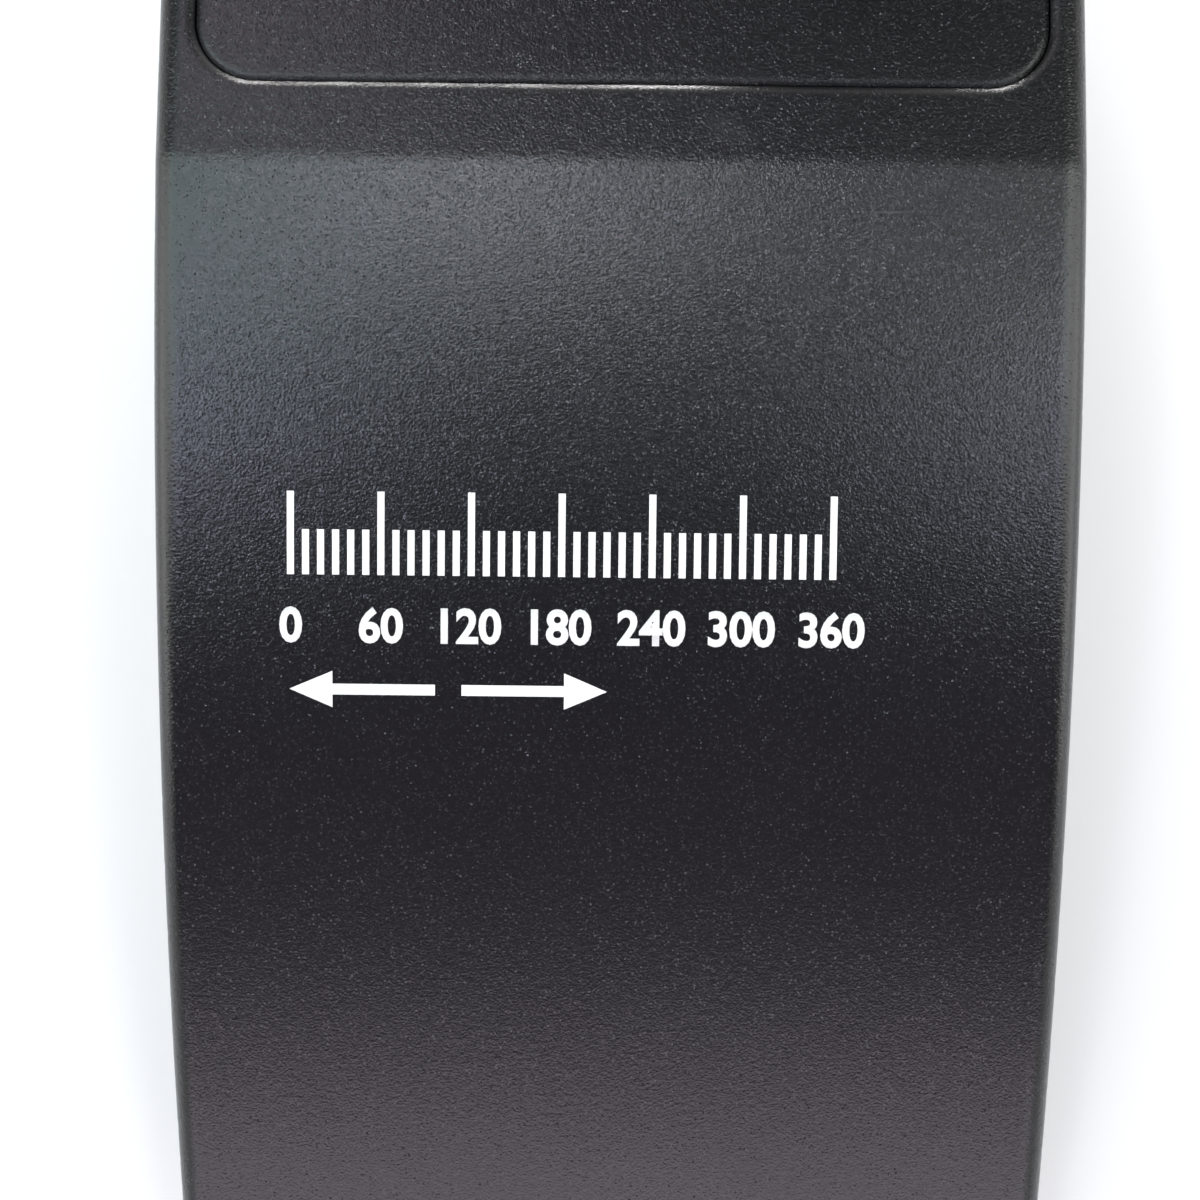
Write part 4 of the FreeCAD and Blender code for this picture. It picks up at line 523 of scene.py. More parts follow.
def addStroke(drawing, points, width, closed=False):
    # a band of even width along the points, mitred at each
    path = [Vector(p) for p in points]
    rows = []
    for i, here in enumerate(path):
        before = path[i - 1] if i or closed else here
        after = path[(i + 1) % len(path)] if i + 1 < len(path) or closed else here
        ways = [w.normalized() for w in (here - before, after - here) if w.length > 0]
        along = (ways[0] + ways[-1]).normalized()
        side = Vector((-along.y, along.x)) * width / 2 / max(narrowestMitre, along.dot(ways[0]))
        rows.append([drawing.verts.new((*(here + s * side), 0)) for s in (-1, 1)])
    for a, b in zip(rows, rows[1:] + (rows[:1] if closed else [])):
        drawing.faces.new((a[0], b[0], b[1], a[1]))


def arcPoints(radius, start, end, steps, x=0.0, y=0.0):
    turns = [math.radians(start + (end - start) * i / steps) for i in range(steps + 1)]
    return [(x + radius * math.cos(t), y + radius * math.sin(t)) for t in turns]


def circlePoints(radius, count, x=0.0, y=0.0):
    return arcPoints(radius, 0, 360 - 360 / count, count - 1, x, y)


# an ink film stands 0.02 mm proud, and its underside is sunk so that no edge lifts
filmLook = {"proud": 0.02 * mm, "sunk": 0.02 * mm, "reach": 4.0 * mm, "merge": 0.002 * mm}


def thicken(drawing, film):
    bmesh.ops.remove_doubles(drawing, verts=drawing.verts[:], dist=film["merge"])
    grown = bmesh.ops.extrude_face_region(drawing, geom=drawing.faces[:], use_keep_orig=True)
    for item in grown["geom"]:
        if isinstance(item, bmesh.types.BMVert):
            item.co.z += film["proud"] + film["sunk"]


def layOn(drawing, place, surface, film):
    # each point goes down to the surface and keeps its own height above it
    out = place.to_3x3() @ Vector((0, 0, 1))
    for vert in drawing.verts:
        above = place @ Vector((vert.co.x, vert.co.y, film["reach"]))
        vert.co = surface.ray_cast(above, -out)[0] + out * (vert.co.z - film["sunk"])
    bmesh.ops.recalc_face_normals(drawing, faces=drawing.faces[:])


def makePiece(name, drawing, body, material=whiteInk, slot="white_mark"):
    mesh = bpy.data.meshes.new(name)
    drawing.to_mesh(mesh)
    drawing.free()
    mesh.materials.clear()
    mesh.materials.append(material)
    piece = bpy.data.objects.new(name, mesh)
    bpy.context.scene.collection.objects.link(piece)
    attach(piece, body)
    return piece


def layPrint(name, drawing, place, node, body, *finish):
    thicken(drawing, filmLook)
    layOn(drawing, place, surfaceOf(node), filmLook)
    makePiece(name, drawing, body, *finish)


# Geometry Nodes trees: named inputs, and the result turned into a plain mesh

def newShapeTree(name, inputs):
    tree = bpy.data.node_groups.new(name, "GeometryNodeTree")
    tree.interface.new_socket("Geometry", in_out="INPUT", socket_type="NodeSocketGeometry")
    for label, kind in inputs.items():
        tree.interface.new_socket(label, in_out="INPUT", socket_type="NodeSocket" + kind)
    tree.interface.new_socket("Geometry", in_out="OUTPUT", socket_type="NodeSocketGeometry")
    return tree, addNode(tree, "NodeGroupInput").outputs, addNode(tree, "NodeGroupOutput")


def growShape(tree, values, base=None):
    holder = bpy.data.objects.new(tree.name, base or bpy.data.meshes.new(tree.name))
    bpy.context.scene.collection.objects.link(holder)
    modifier = holder.modifiers.new("shape", "NODES")
    modifier.node_group = tree
    for item in tree.interface.items_tree:
        if item.in_out == "INPUT" and item.name in values:
            modifier[item.identifier] = values[item.name]
    ready = holder.evaluated_get(bpy.context.evaluated_depsgraph_get())
    mesh = bpy.data.meshes.new_from_object(ready)
    bpy.data.objects.remove(holder)
    return mesh


tickPoints = 6      # along a tick, so that it follows a curved surface


def tickMarks(tree, given, points, turn=None):
    # a short bar at every point, and a long one wherever Long Every divides the point's number
    index = addNode(tree, "GeometryNodeInputIndex").outputs["Index"]
    rest = addNode(tree, "ShaderNodeMath", {"operation": "MODULO"},
                   {0: index, 1: given["Long Every"]}).outputs["Value"]
    placed = []
    for length, test in (("Short Length", "GREATER_THAN"), ("Long Length", "LESS_THAN")):
        size = addNode(tree, "ShaderNodeCombineXYZ", None,
                       {"X": given["Width"], "Y": given[length], "Z": given["Film"]}).outputs["Vector"]
        bar = addNode(tree, "GeometryNodeMeshCube", {"Vertices Y": tickPoints},
                      {"Size": size}).outputs["Mesh"]
        half = addNode(tree, "ShaderNodeVectorMath", {"operation": "MULTIPLY", 1: (0.0, 0.5, 0.5)},
                       {0: size}).outputs["Vector"]
        raised = addNode(tree, "GeometryNodeSetPosition", None,
                         {"Geometry": bar, "Offset": half}).outputs["Geometry"]
        chosen = addNode(tree, "ShaderNodeMath", {"operation": test, 1: 0.5}, {0: rest}).outputs["Value"]
        links = {"Points": points, "Instance": raised, "Selection": chosen}
        if turn:
            links["Rotation"] = turn
        placed.append(addNode(tree, "GeometryNodeInstanceOnPoints", None, links).outputs["Instances"])
    both = addNode(tree, "GeometryNodeJoinGeometry")
    for instances in placed:
        tree.links.new(instances, both.inputs[0])
    return both.outputs[0]


def finishTree(tree, given, end, geometry):
    real = addNode(tree, "GeometryNodeRealizeInstances", None, {0: geometry}).outputs[0]
    inked = addNode(tree, "GeometryNodeSetMaterial", None, {"Geometry": real, "Material": given["Finish"]})
    tree.links.new(inked.outputs["Geometry"], end.inputs["Geometry"])


tickInputs = {"Count": "Int", "Long Every": "Int", "Width": "Float", "Short Length": "Float",
              "Long Length": "Float", "Film": "Float", "Finish": "Material"}


def tickRowTree():
    tree, given, end = newShapeTree("tick row", {"Pitch": "Float", **tickInputs})
    step = addNode(tree, "ShaderNodeCombineXYZ", None, {"X": given["Pitch"]}).outputs["Vector"]
    row = addNode(tree, "GeometryNodeMeshLine", None, {"Count": given["Count"], "Offset": step})
    finishTree(tree, given, end, tickMarks(tree, given, row.outputs["Mesh"]))
    return tree


def tickRingTree():
    tree, given, end = newShapeTree("tick ring", {"Radius": "Float", **tickInputs})
    ring = addNode(tree, "GeometryNodeMeshCircle", None,
                   {"Vertices": given["Count"], "Radius": given["Radius"]}).outputs["Mesh"]
    index = addNode(tree, "GeometryNodeInputIndex").outputs["Index"]
    share = addNode(tree, "ShaderNodeMath", {"operation": "DIVIDE"},
                    {0: index, 1: given["Count"]}).outputs["Value"]
    angle = addNode(tree, "ShaderNodeMath", {"operation": "MULTIPLY_ADD", 1: 2 * math.pi, 2: math.pi / 2},
                    {0: share}).outputs["Value"]
    turn = addNode(tree, "FunctionNodeAxisAngleToRotation", {"Axis": (0.0, 0.0, 1.0)},
                   {"Angle": angle}).outputs["Rotation"]
    finishTree(tree, given, end, tickMarks(tree, given, ring, turn))
    return tree


def tickValues(plan):
    return {"Count": plan["count"], "Long Every": plan["longEvery"], "Width": plan["tickWidth"],
            "Short Length": plan["shortTick"], "Long Length": plan["longTick"],
            "Film": filmLook["proud"] + filmLook["sunk"], "Finish": whiteInk}


# the deck's frame, from the knob's own axis
knobJoint = next(joint for joint in frame["record"]["behaviour"]["joints"] if joint["name"] == "knob_turn")
deckOut = Vector(knobJoint["axis"])
dialPlace = placeAt(knobJoint["pos_m"], (1, 0, 0), deckOut)

# bearing scale on the apron: ticks each ten degrees, a number each sixty, and an arrow for each way round
bearingScale = {
    "left": -39.2 * mm,
    "width": 65.2 * mm,
    "tickFoot": -30.4 * mm,
    "count": 37,
    "longEvery": 6,
    "tickWidth": 0.85 * mm,
    "shortTick": 5.2 * mm,
    "longTick": 9.6 * mm,
    "numbers": range(0, 361, 60),
    "numberHeight": 4.2 * mm,
    "numberWeight": 0.03,
    "numberMiddle": -36.2 * mm,
    "arrowMiddle": -43.6 * mm,
    "arrowStarts": (-39.4 * mm, -18.6 * mm),
    "arrowLength": 17.6 * mm,
    "arrowHead": (5.2 * mm, 4.2 * mm),
    "arrowShaft": 1.25 * mm,
    "film": {**filmLook, "reach": 20 * mm},
}


def drawScaleTicks(plan):
    pitch = plan["width"] / (plan["count"] - 1)
    ticks = growShape(tickRowTree(), {"Pitch": pitch, **tickValues(plan)})
    ticks.transform(Matrix.Translation((plan["left"], plan["tickFoot"], 0)))
    drawing = bmesh.new()
    drawing.from_mesh(ticks)
    return drawing


def drawScaleNumbers(plan):
    drawing = bmesh.new()
    for number in plan["numbers"]:
        x = plan["left"] + plan["width"] * number / plan["numbers"][-1]
        addLettering(drawing, str(number), plan["numberHeight"], x, plan["numberMiddle"],
                     weight=plan["numberWeight"])
    thicken(drawing, plan["film"])
    return drawing


def drawTurnArrows(plan):
    drawing = bmesh.new()
    head, half, shaft = plan["arrowHead"][0], plan["arrowHead"][1] / 2, plan["arrowShaft"] / 2
    for start, way in zip(plan["arrowStarts"], (1, -1)):
        tip = start if way == 1 else start + plan["arrowLength"]
        tail = tip + way * plan["arrowLength"]
        neck = tip + way * head
        y = plan["arrowMiddle"]
        addOutline(drawing, [(tip, y), (neck, y - half), (neck, y - shaft), (tail, y - shaft),
                             (tail, y + shaft), (neck, y + shaft), (neck, y + half)])
    bmesh.ops.triangulate(drawing, faces=drawing.faces[:])
    thicken(drawing, plan["film"])
    return drawing


def makeBearingScale(plan):
    place = placeAt((0, 0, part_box("upper_shell")[1][2]), (1, 0, 0), (0, 0, 1))
    shell = surfaceOf("upper_shell")
    for name, draw in (("apron_scale_ticks", drawScaleTicks), ("apron_scale_numbers", drawScaleNumbers),
                       ("apron_turn_arrows", drawTurnArrows)):
        drawing = draw(plan)
        layOn(drawing, place, shell, plan["film"])
        makePiece(name, drawing, "console")


makeBearingScale(bearingScale)

# degree ring round the knob: a tick each five degrees, and a number each thirty, read from outside
degreeRing = {
    "count": 72,
    "longEvery": 6,
    "tickRadius": 20.3 * mm,
    "tickWidth": 0.22 * mm,
    "shortTick": 1.1 * mm,
    "longTick": 1.9 * mm,
    "numbers": range(0, 360, 30),
    "numberHeight": 1.75 * mm,
    "numberWeight": 0.01,
    "numberRadius": 16.95 * mm,
}


def makeDegreeRing(plan):
    drawing = bmesh.new()
    drawing.from_mesh(growShape(tickRingTree(), {"Radius": plan["tickRadius"], **tickValues(plan)}))
    layOn(drawing, dialPlace, surfaceOf("dial_ring"), filmLook)
    makePiece("dial_ring_ticks", drawing, "console")
    drawing = bmesh.new()
    for number in plan["numbers"]:
        turn = -math.radians(number)
        addLettering(drawing, str(number), plan["numberHeight"], -plan["numberRadius"] * math.sin(turn),
                     plan["numberRadius"] * math.cos(turn), turn, plan["numberWeight"])
    layPrint("dial_ring_numbers", drawing, dialPlace, "dial_ring", "console")


makeDegreeRing(degreeRing)

# legends on the key caps
keyLegend = {
    "stroke": 0.38 * mm,
    "powerRadius": 1.25 * mm,
    "powerGap": 38,
    "powerSteps": 24,
    "powerBar": (0.35 * mm, 1.75 * mm),
    "arrow": (2.9 * mm, 2.9 * mm),
    "dot": {"radius": 0.75 * mm, "count": 24},
    "dotRing": {"radius": 1.55 * mm, "count": 36},
    "numberHeight": 2.7 * mm,
    "numberWeight": 0.02,
}


def drawPower(drawing, plan):
    addStroke(drawing, arcPoints(plan["powerRadius"], 90 + plan["powerGap"], 450 - plan["powerGap"],
                                 plan["powerSteps"]), plan["stroke"])
    addStroke(drawing, [(0, end) for end in plan["powerBar"]], plan["stroke"])


def drawArrow(way):
    # the points are turned round for the left arrow, so that its face still looks up
    def draw(drawing, plan):
        length, height = plan["arrow"]
        addOutline(drawing, [(way * length / 2, 0), (-way * length / 2, height / 2),
                             (-way * length / 2, -height / 2)][::way])
    return draw


def drawDot(drawing, plan):
    addOutline(drawing, circlePoints(**plan["dot"]))
    addStroke(drawing, circlePoints(**plan["dotRing"]), plan["stroke"], closed=True)


def drawNumber(text):
    return lambda drawing, plan: addLettering(drawing, text, plan["numberHeight"],
                                              weight=plan["numberWeight"])


legends = {"power_key": drawPower, "turn_left_key": drawArrow(-1), "turn_right_key": drawArrow(1),
           "set_key": drawDot, **{"memory_key_" + n: drawNumber(n) for n in "1234"}}


def makeLegends(plan):
    for key, draw in legends.items():
        low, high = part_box(key)
        middle = (Vector(low) + Vector(high)) / 2
        top = middle + deckOut * (high[2] - low[2]) / 2
        drawing = bmesh.new()
        draw(drawing, plan)
        layPrint(key + "_legend", drawing, placeAt(top, (1, 0, 0), deckOut), key, key)


makeLegends(keyLegend)
print("scales and legends printed")

# display: three seven-segment digits, printed on their blocks as diffusing cavities, slanted a little
displayLook = {
    "reading": "000",
    "height": 9.6 * mm,
    "width": 5.4 * mm,
    "segment": 1.15 * mm,
    "gap": 0.16 * mm,
    "slant": math.radians(8),
    "point": {"radius": 0.6 * mm, "count": 18, "x": 4.35 * mm, "y": -5.1 * mm},
    "blockGap": 0.2 * mm,
}

# which of the seven segments each numeral lights, from the top round clockwise, and the middle one last
litSegments = {"0": "abcdef", "1": "bc", "2": "abdeg", "3": "abcdg", "4": "bcfg", "5": "acdfg",
               "6": "acdefg", "7": "abc", "8": "abcdefg", "9": "abcdfg"}


def segmentOutline(letter, plan):
    # a bar with pointed ends, flat for a, d and g and upright for the others
    half, high = plan["width"] / 2, plan["height"] / 2
    thick = plan["segment"] / 2
    flat = letter in "adg"
    middle = {"a": (0, high), "d": (0, -high), "g": (0, 0), "b": (half, high / 2), "c": (half, -high / 2),
              "e": (-half, -high / 2), "f": (-half, high / 2)}[letter]
    reach = (plan["width"] if flat else plan["height"] / 2) / 2 - plan["gap"]
    bar = [(-reach, 0), (thick - reach, -thick), (reach - thick, -thick), (reach, 0), (reach - thick, thick),
           (thick - reach, thick)]
    points = [(x, y) if flat else (-y, x) for x, y in bar]
    lean = math.tan(plan["slant"])
    return [(x + middle[0] + (y + middle[1]) * lean, y + middle[1]) for x, y in points]


def makeDisplay(plan):
    low, high = (Vector(corner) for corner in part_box("led_digits"))
    windowLow, windowHigh = (Vector(corner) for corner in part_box("display_window"))
    centre = (windowLow + windowHigh) / 2
    centre.x = (low.x + high.x) / 2
    place = placeAt(centre, (1, 0, 0), deckOut)
    pitch = (high.x - low.x + plan["blockGap"]) / len(plan["reading"])
    lit, dark = bmesh.new(), bmesh.new()
    for n, numeral in enumerate(plan["reading"]):
        shift = (n - (len(plan["reading"]) - 1) / 2) * pitch
        for letter in "abcdefg":
            drawing = lit if letter in litSegments[numeral] else dark
            addOutline(drawing, [(x + shift, y) for x, y in segmentOutline(letter, plan)])
        addOutline(dark, [(x + shift, y) for x, y in circlePoints(**plan["point"])])
    layPrint("display_segments_lit", lit, place, "led_digits", "console", redSegment, "display")
    layPrint("display_segments_dark", dark, place, "led_digits", "console", milkyEpoxy, "display")


makeDisplay(displayLook)

# panel printing: a bracket under the memory keys, and a degree sign beside the display
panelPrint = {
    "stroke": 0.3 * mm,
    "bracketDrop": 2.3 * mm,
    "bracketRise": 1.1 * mm,
    "degreeRadius": 0.85 * mm,
    "degreeCount": 24,
    "degreeGap": 2.6 * mm,
    "degreeDrop": 2.2 * mm,
}


def makePanelPrint(plan):
    # points are worked out in the dial's own frame, which lies in the deck
    toDeck = dialPlace.inverted()
    firstKey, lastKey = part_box("memory_key_1"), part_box("memory_key_4")
    foot = (toDeck @ ((Vector(firstKey[0]) + Vector(firstKey[1])) / 2)).y
    halfKey = (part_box("turn_left_key")[1][1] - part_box("turn_left_key")[0][1]) / 2
    line = foot - halfKey - plan["bracketDrop"] + plan["bracketRise"]
    left, right = (toDeck @ Vector(firstKey[0])).x, (toDeck @ Vector(lastKey[1])).x
    drawing = bmesh.new()
    addStroke(drawing, [(left, line + plan["bracketRise"]), (left, line), (right, line),
                        (right, line + plan["bracketRise"])], plan["stroke"])
    corner = toDeck @ Vector(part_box("display_window")[1])
    addStroke(drawing, circlePoints(plan["degreeRadius"], plan["degreeCount"], corner.x + plan["degreeGap"],
                                    corner.y - plan["degreeDrop"]), plan["stroke"], closed=True)
    layPrint("panel_lines", drawing, dialPlace, "control_panel", "console")


makePanelPrint(panelPrint)

# rear printing: a number under each terminal, and the wave of alternating current under the inlet
rearPrint = {
    "numberHeight": 3.0 * mm,
    "numberWeight": 0.015,
    "numberGap": 2.6 * mm,
    "waveWidth": 7.0 * mm,
    "waveHeight": 1.3 * mm,
    "waveGap": 3.4 * mm,
    "waveSteps": 24,
    "stroke": 0.55 * mm,
}


def makeRearPrint(plan):
    blockBox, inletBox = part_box("terminal_block"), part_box("mains_inlet")
    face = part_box("rear_panel")[1][1]
    place = placeAt((0, face, 0), (-1, 0, 0), (0, 1, 0))
    drawing = bmesh.new()
    for number in "123":
        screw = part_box("terminal_screw_" + number)
        middle = (screw[0][0] + screw[1][0]) / 2
        addLettering(drawing, number, plan["numberHeight"], -middle,
                     blockBox[0][2] - plan["numberGap"] - plan["numberHeight"] / 2,
                     weight=plan["numberWeight"])
    middle = (inletBox[0][0] + inletBox[1][0]) / 2
    level = inletBox[0][2] - plan["waveGap"]
    steps = plan["waveSteps"]
    wave = [(-middle + plan["waveWidth"] * (i / steps - 0.5),
             level + plan["waveHeight"] * math.sin(2 * math.pi * i / steps)) for i in range(steps + 1)]
    addStroke(drawing, wave, plan["stroke"])
    layPrint("rear_marks", drawing, place, "rear_panel", "console")


makeRearPrint(rearPrint)
print("display, panel and rear printed")

# direction knob: a profile turned about the shaft's axis, with flutes round its grip.
# Its main sizes come from the CAD knob, and it stands in for it
knobLook = {
    "flutes": 24,
    "fluteDepth": 0.95 * mm,
    "fluteSharpness": 1.7,
    "stepsPerFlute": 16,
    "skirtHeight": 3.0 * mm,
    "skirtEdge": 0.45 * mm,
    "neckInset": 0.9 * mm,
    "topRadius": 13.2 * mm,
    "topEdge": 1.1 * mm,
    "crown": 0.05 * mm,
    "crownRings": (0.7, 0.4, 0.0),
    "pocketRadius": 7.2 * mm,
    "boreClearance": 0.03 * mm,
    "screwClearance": 0.04 * mm,
    "drill": {"Vertices": 32, "Depth": 15.0 * mm},
    "drillPlace": -10.5 * mm,
    "weld": 0.0005 * mm,
    "edgeSteps": 6,
    "sharpAngle": math.radians(40),
}


def deckSpan(node):
    # a node's lowest and highest corners in the dial's own frame
    toDeck = dialPlace.inverted()
    points = [toDeck @ vert.co for vert in frame["nodes"][node].data.vertices]
    return [Vector([pick(p[i] for p in points) for i in range(3)]) for pick in (min, max)]


def knobProfile(plan):
    # radius and height from the bore's end, out under the skirt and up to the middle of the top.
    # the third number is how deep the flutes cut there, from 0 to 1
    low, high = deckSpan("direction_knob")
    shaftLow, shaftHigh = deckSpan("encoder_shaft")
    radius, topRadius = (high.x - low.x) / 2, plan["topRadius"]
    bore = (shaftHigh.x - shaftLow.x) / 2 + plan["boreClearance"]
    boreTop = shaftHigh.z + plan["boreClearance"]
    pocket, pocketTop = plan["pocketRadius"], deckSpan("encoder_nut")[1].z + plan["neckInset"]
    steps, edge, skirtEdge = plan["edgeSteps"], plan["topEdge"], plan["skirtEdge"]
    skirtTop = low.z + plan["skirtHeight"]
    plain = [(0.0, boreTop), (bore, boreTop), (bore, pocketTop), (pocket, pocketTop), (pocket, low.z)]
    plain += arcPoints(skirtEdge, -90, 0, steps, radius - skirtEdge, low.z + skirtEdge)
    plain += arcPoints(skirtEdge, 0, 90, steps, radius - skirtEdge, skirtTop - skirtEdge)
    neck = radius - plan["neckInset"]
    fluted = [(neck + (topRadius - neck) * i / steps, skirtTop + (high.z - edge - skirtTop) * i / steps, 1.0)
              for i in range(steps)]
    fluted += [(r, z, (r - topRadius + edge) / edge)
               for r, z in arcPoints(edge, 0, 90, steps, topRadius - edge, high.z - edge)]
    top = [(r * topRadius, high.z - plan["crown"] * (1 - r), 0.0) for r in plan["crownRings"]]
    return [(r, z, 0.0) for r, z in plain] + fluted + top


def knobTree(plan):
    tree, given, end = newShapeTree("fluted knob", {
        "Columns": "Int", "Flutes": "Float", "Flute Depth": "Float", "Flute Sharpness": "Float",
        "Screw Radius": "Float", "Screw Height": "Float", "Slot Size": "Vector", "Slot Middle": "Vector",
        "Finish": "Material"})

    # a grid with a row for each point of the profile and a column for each step around
    profile = given["Geometry"]
    rows = addNode(tree, "GeometryNodeAttributeDomainSize", {"component": "MESH"},
                   {"Geometry": profile}).outputs["Point Count"]
    grid = addNode(tree, "GeometryNodeMeshGrid", {"Size X": 1.0, "Size Y": 1.0},
                   {"Vertices X": given["Columns"], "Vertices Y": rows}).outputs["Mesh"]
    position = addNode(tree, "GeometryNodeInputPosition").outputs["Position"]
    shares = addNode(tree, "ShaderNodeVectorMath", {"operation": "ADD", 1: (0.5, 0.5, 0.0)},
                     {0: position}).outputs["Vector"]
    across, along = addNode(tree, "ShaderNodeSeparateXYZ", None, {"Vector": shares}).outputs[:2]
    lastRow = addNode(tree, "ShaderNodeMath", {"operation": "SUBTRACT", 1: 1.0},
                      {0: rows}).outputs["Value"]
    exactRow = addNode(tree, "ShaderNodeMath", {"operation": "MULTIPLY"},
                       {0: along, 1: lastRow}).outputs["Value"]
    row = addNode(tree, "ShaderNodeMath", {"operation": "ROUND"}, {0: exactRow}).outputs["Value"]
    point = addNode(tree, "GeometryNodeSampleIndex", {"data_type": "FLOAT_VECTOR", "domain": "POINT"},
                    {"Geometry": profile, "Index": row, "Value": position}).outputs["Value"]
    reach, depth, height = addNode(tree, "ShaderNodeSeparateXYZ", None, {"Vector": point}).outputs

    # the flutes: a sharpened wave round the knob, as deep as the profile says at each row
    angle = addNode(tree, "ShaderNodeMath", {"operation": "MULTIPLY", 1: 2 * math.pi},
                    {0: across}).outputs["Value"]
    cut = angle
    for numbers, sockets in (({"operation": "MULTIPLY"}, {1: given["Flutes"]}),
                             ({"operation": "COSINE"}, {}),
                             ({"operation": "MULTIPLY_ADD", 1: -0.5, 2: 0.5}, {}),
                             ({"operation": "POWER"}, {1: given["Flute Sharpness"]}),
                             ({"operation": "MULTIPLY"}, {1: given["Flute Depth"]}),
                             ({"operation": "MULTIPLY"}, {1: depth})):
        cut = addNode(tree, "ShaderNodeMath", numbers, {0: cut, **sockets}).outputs["Value"]
    radius = addNode(tree, "ShaderNodeMath", {"operation": "SUBTRACT"},
                     {0: reach, 1: cut}).outputs["Value"]

    # the grid rolled up round the axis, with its seam and poles closed
    ways = []
    for operation in ("COSINE", "SINE"):
        way = addNode(tree, "ShaderNodeMath", {"operation": operation}, {0: angle}).outputs["Value"]
        ways.append(addNode(tree, "ShaderNodeMath", {"operation": "MULTIPLY"},
                            {0: radius, 1: way}).outputs["Value"])
    rolled = addNode(tree, "ShaderNodeCombineXYZ", None, {"X": ways[0], "Y": ways[1], "Z": height})
    skin = addNode(tree, "GeometryNodeSetPosition", None,
                   {"Geometry": grid, "Position": rolled.outputs["Vector"]}).outputs["Geometry"]
    body = addNode(tree, "GeometryNodeMergeByDistance", {"Distance": plan["weld"]},
                   {"Geometry": skin}).outputs["Geometry"]

    # the set screw's hole and the pointer's slot
    drill = addNode(tree, "GeometryNodeMeshCylinder", plan["drill"],
                    {"Radius": given["Screw Radius"]}).outputs["Mesh"]
    middle = addNode(tree, "ShaderNodeCombineXYZ", {"Y": plan["drillPlace"]},
                     {"Z": given["Screw Height"]}).outputs["Vector"]
    hole = addNode(tree, "GeometryNodeTransform", {"Rotation": (math.pi / 2, 0.0, 0.0)},
                   {"Geometry": drill, "Translation": middle}).outputs["Geometry"]
    cutter = addNode(tree, "GeometryNodeMeshCube", None, {"Size": given["Slot Size"]}).outputs["Mesh"]
    slot = addNode(tree, "GeometryNodeTransform", None,
                   {"Geometry": cutter, "Translation": given["Slot Middle"]}).outputs["Geometry"]
    ready = addNode(tree, "GeometryNodeMeshBoolean", {"operation": "DIFFERENCE", "solver": "EXACT"},
                    {"Mesh 1": body})
    for taken in (hole, slot):
        tree.links.new(taken, ready.inputs["Mesh 2"])
    finishTree(tree, given, end, ready.outputs["Mesh"])
    return tree


def makeKnob(plan):
    profile = bpy.data.meshes.new("knob profile")
    points = knobProfile(plan)
    profile.from_pydata([(r, share, z) for r, z, share in points],
                        [(i, i + 1) for i in range(len(points) - 1)], [])
    screwLow, screwHigh = deckSpan("knob_set_screw")
    slotLow, slotHigh = deckSpan("knob_pointer")
    slotHigh.z += plan["topEdge"]
    mesh = growShape(knobTree(plan), {
        "Columns": plan["flutes"] * plan["stepsPerFlute"] + 1, "Flutes": float(plan["flutes"]),
        "Flute Depth": plan["fluteDepth"], "Flute Sharpness": plan["fluteSharpness"],
        "Screw Radius": (screwHigh.x - screwLow.x) / 2 + plan["screwClearance"],
        "Screw Height": (screwLow.z + screwHigh.z) / 2, "Slot Size": slotHigh - slotLow,
        "Slot Middle": (slotLow + slotHigh) / 2, "Finish": phenolic}, profile)
    mesh.transform(dialPlace)
    drawing = bmesh.new()
    drawing.from_mesh(mesh)
    bmesh.ops.recalc_face_normals(drawing, faces=drawing.faces[:])
    piece = makePiece("fluted_knob", drawing, "knob", phenolic, "knob")
    piece.data.shade_smooth()
    piece.data.set_sharp_from_angle(angle=plan["sharpAngle"])
    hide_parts("direction_knob")


makeKnob(knobLook)
print("knob turned and fluted")


# floor, lights and world: a pale table that sweeps up into a backdrop, in plain soft light

studio = {
    "colour": "#fbfbfa",
    "flatRadius": 1.4,
    "curveRadius": 0.5,
    "wallHeight": 0.9,
    "curveSteps": 8,
    "stepsAround": 96,
    "roughness": 0.9,
    "plainTo": 0.42,
    "whiteFrom": 0.85,
    "skyColour": "#ffffff",
    "skyStrength": 0.03,
    "middle": Vector((0.0, -0.04, 0.05)),
    "distance": 0.9,
}

# soft boxes, all looking at the middle: degrees forward from overhead and to the right, size, and watts
softBoxes = {
    "behind": {"forward": -82, "right": -4, "size": (0.30, 0.07), "power": 8.00, "colour": "#fffefd"},
    "behind wide": {"forward": -54, "right": 0, "size": (1.20, 0.50), "power": 3.00, "colour": "#fffefd"},
    "behind left": {"forward": -25, "right": -14, "size": (0.15, 0.15), "power": 0.36, "colour": "#fbe8fa"},
    "far left": {"forward": 5, "right": -58, "size": (0.50, 1.00), "power": 4.00, "colour": "#ffffff"},
    "left": {"forward": -3, "right": -25, "size": (0.30, 0.50), "power": 1.24, "colour": "#d6fffa"},
    "low left": {"forward": 12, "right": -18, "size": (0.12, 0.12), "power": 0.78, "colour": "#e3e6ff"},
    "window": {"forward": -4, "right": -4, "size": (0.06, 0.06), "power": 0.85, "colour": "#f2f2ff"},
    "far right": {"forward": 5, "right": 58, "size": (0.50, 1.00), "power": 4.00, "colour": "#ffffff"},
    "right": {"forward": -3, "right": 27, "size": (0.35, 0.45), "power": 1.05, "colour": "#f0fff0"},
    "low right": {"forward": 12, "right": 18, "size": (0.12, 0.12), "power": 0.75, "colour": "#e5e9ff"},
    "before": {"forward": 40, "right": 0, "size": (1.00, 0.30), "power": 0.22, "colour": "#ffe0f9"},
    "front": {"forward": 67, "right": 0, "size": (1.20, 0.42), "power": 3.30, "colour": "#fdf1ff"},
}


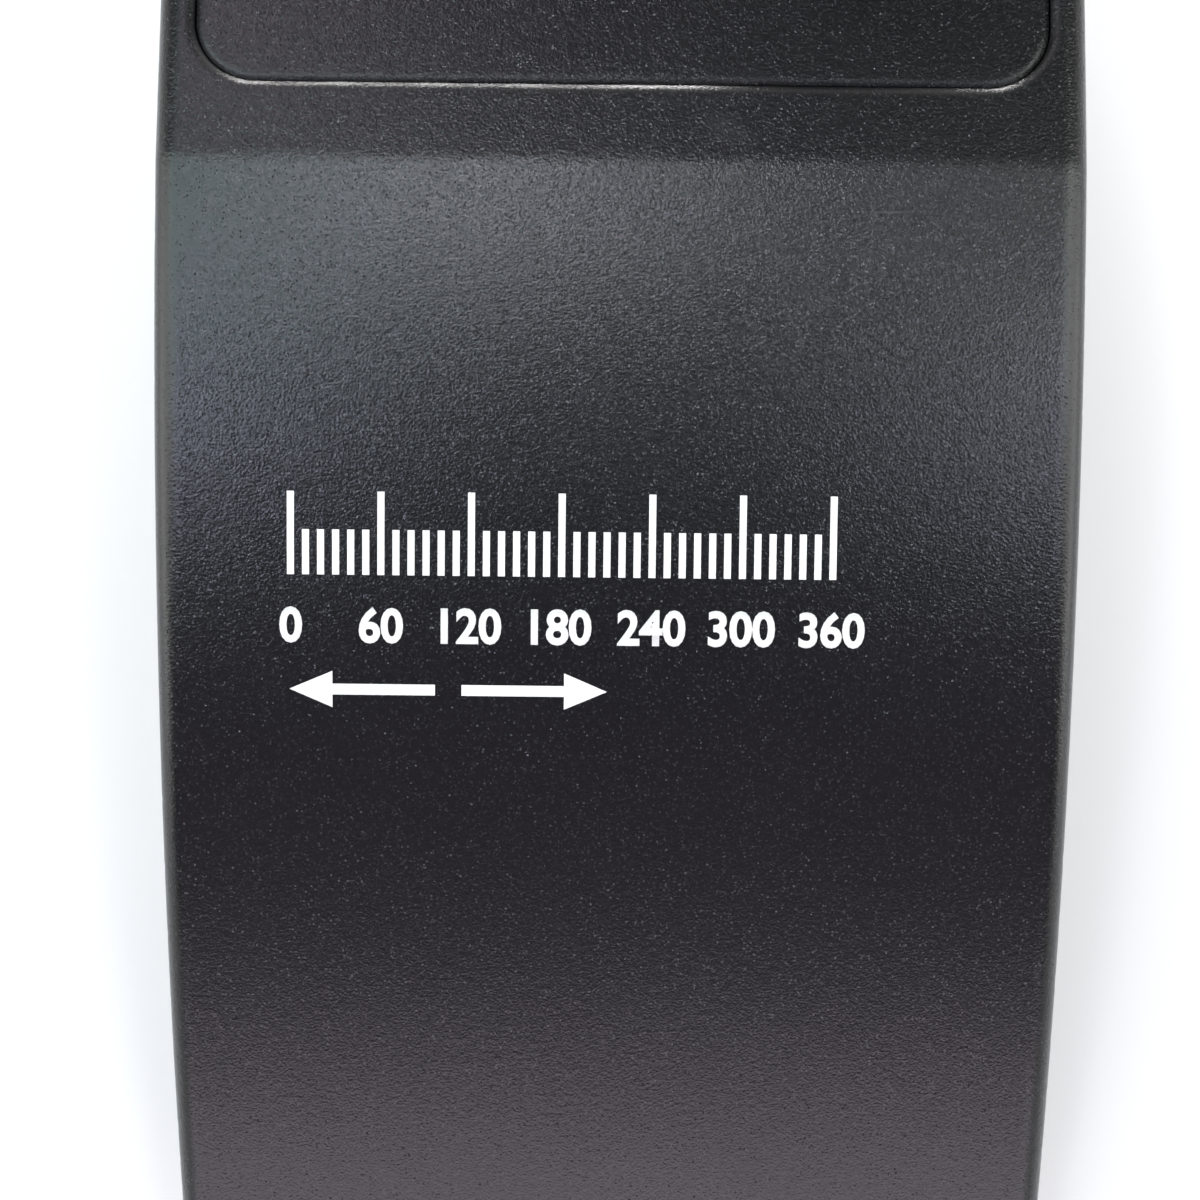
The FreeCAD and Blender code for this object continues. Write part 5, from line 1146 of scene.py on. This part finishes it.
def paleSweep(plan):
    # matt paint near the object, where its shadow falls. Further out the sweep shows as plain white
    material, tree, place = startMaterial("matt paint, pale")
    paint = addNode(tree, "ShaderNodeBsdfPrincipled",
                    {"Base Color": linearColour(plan["colour"]), "Roughness": plan["roughness"],
                     "Specular IOR Level": 0.0}).outputs["BSDF"]
    reach = addNode(tree, "ShaderNodeVectorMath", {"operation": "LENGTH"}, {0: place}).outputs["Value"]
    share = addNode(tree, "ShaderNodeMapRange",
                    {"From Min": plan["plainTo"], "From Max": plan["whiteFrom"]},
                    {"Value": reach}).outputs["Result"]
    seen = addNode(tree, "ShaderNodeLightPath").outputs
    watched = seen["Is Camera Ray"]
    for mirrored in ("Is Glossy Ray", "Is Transmission Ray"):
        watched = addNode(tree, "ShaderNodeMath", {"operation": "MAXIMUM"},
                          {0: watched, 1: seen[mirrored]}).outputs["Value"]
    amount = addNode(tree, "ShaderNodeMath", {"operation": "MULTIPLY"},
                     {0: share, 1: watched}).outputs["Value"]
    white = addNode(tree, "ShaderNodeEmission", {"Strength": 1.0}).outputs["Emission"]
    mixed = addNode(tree, "ShaderNodeMixShader", None, {0: amount, 1: paint, 2: white})
    addNode(tree, "ShaderNodeOutputMaterial", None, {"Surface": mixed.outputs["Shader"]})
    return material


def makeSweep(plan):
    # a flat round floor, a quarter circle up and a short upright wall, all turned about the middle
    flat, curve, count = plan["flatRadius"], plan["curveRadius"], plan["stepsAround"]
    side = arcPoints(curve, -90, 0, plan["curveSteps"], flat, curve)
    side.append((flat + curve, plan["wallHeight"]))
    work = bmesh.new()
    rings = [[work.verts.new((x, y, z)) for x, y in circlePoints(r, count)] for r, z in side]
    work.faces.new(rings[0])
    for inner, outer in zip(rings, rings[1:]):
        for i in range(count):
            following = (i + 1) % count
            work.faces.new((inner[i], outer[i], outer[following], inner[following]))
    mesh = bpy.data.meshes.new("backdrop")
    work.to_mesh(mesh)
    work.free()
    mesh.shade_smooth()
    mesh.materials.append(paleSweep(plan))
    backdrop = bpy.data.objects.new("backdrop", mesh)
    bpy.context.scene.collection.objects.link(backdrop)


def makeSoftBox(name, plan):
    data = bpy.data.lights.new(name, "AREA")
    data.shape = "RECTANGLE"
    data.size, data.size_y = plan["size"]
    data.energy = plan["power"]
    data.color = linearColour(plan["colour"])[:3]
    lamp = bpy.data.objects.new(name, data)
    bpy.context.scene.collection.objects.link(lamp)
    forward, right = math.radians(plan["forward"]), math.radians(plan["right"])
    way = Vector((math.sin(right), -math.sin(forward) * math.cos(right), math.cos(forward) * math.cos(right)))
    lamp.matrix_world = (Matrix.Translation(studio["middle"] + way * studio["distance"])
                         @ (-way).to_track_quat("-Z", "Y").to_matrix().to_4x4())


def makeSky(plan):
    world = bpy.data.worlds.new("studio")
    bpy.context.scene.world = world
    world.use_nodes = True
    tree = world.node_tree
    tree.nodes.clear()
    dim = addNode(tree, "ShaderNodeBackground",
                  {"Color": linearColour(plan["skyColour"]), "Strength": plan["skyStrength"]})
    output = addNode(tree, "ShaderNodeOutputWorld")
    tree.links.new(dim.outputs["Background"], output.inputs["Surface"])


makeSweep(studio)
for boxName, boxPlan in softBoxes.items():
    makeSoftBox(boxName, boxPlan)
makeSky(studio)
bpy.context.scene.view_settings.view_transform = "Standard"
print("studio made")
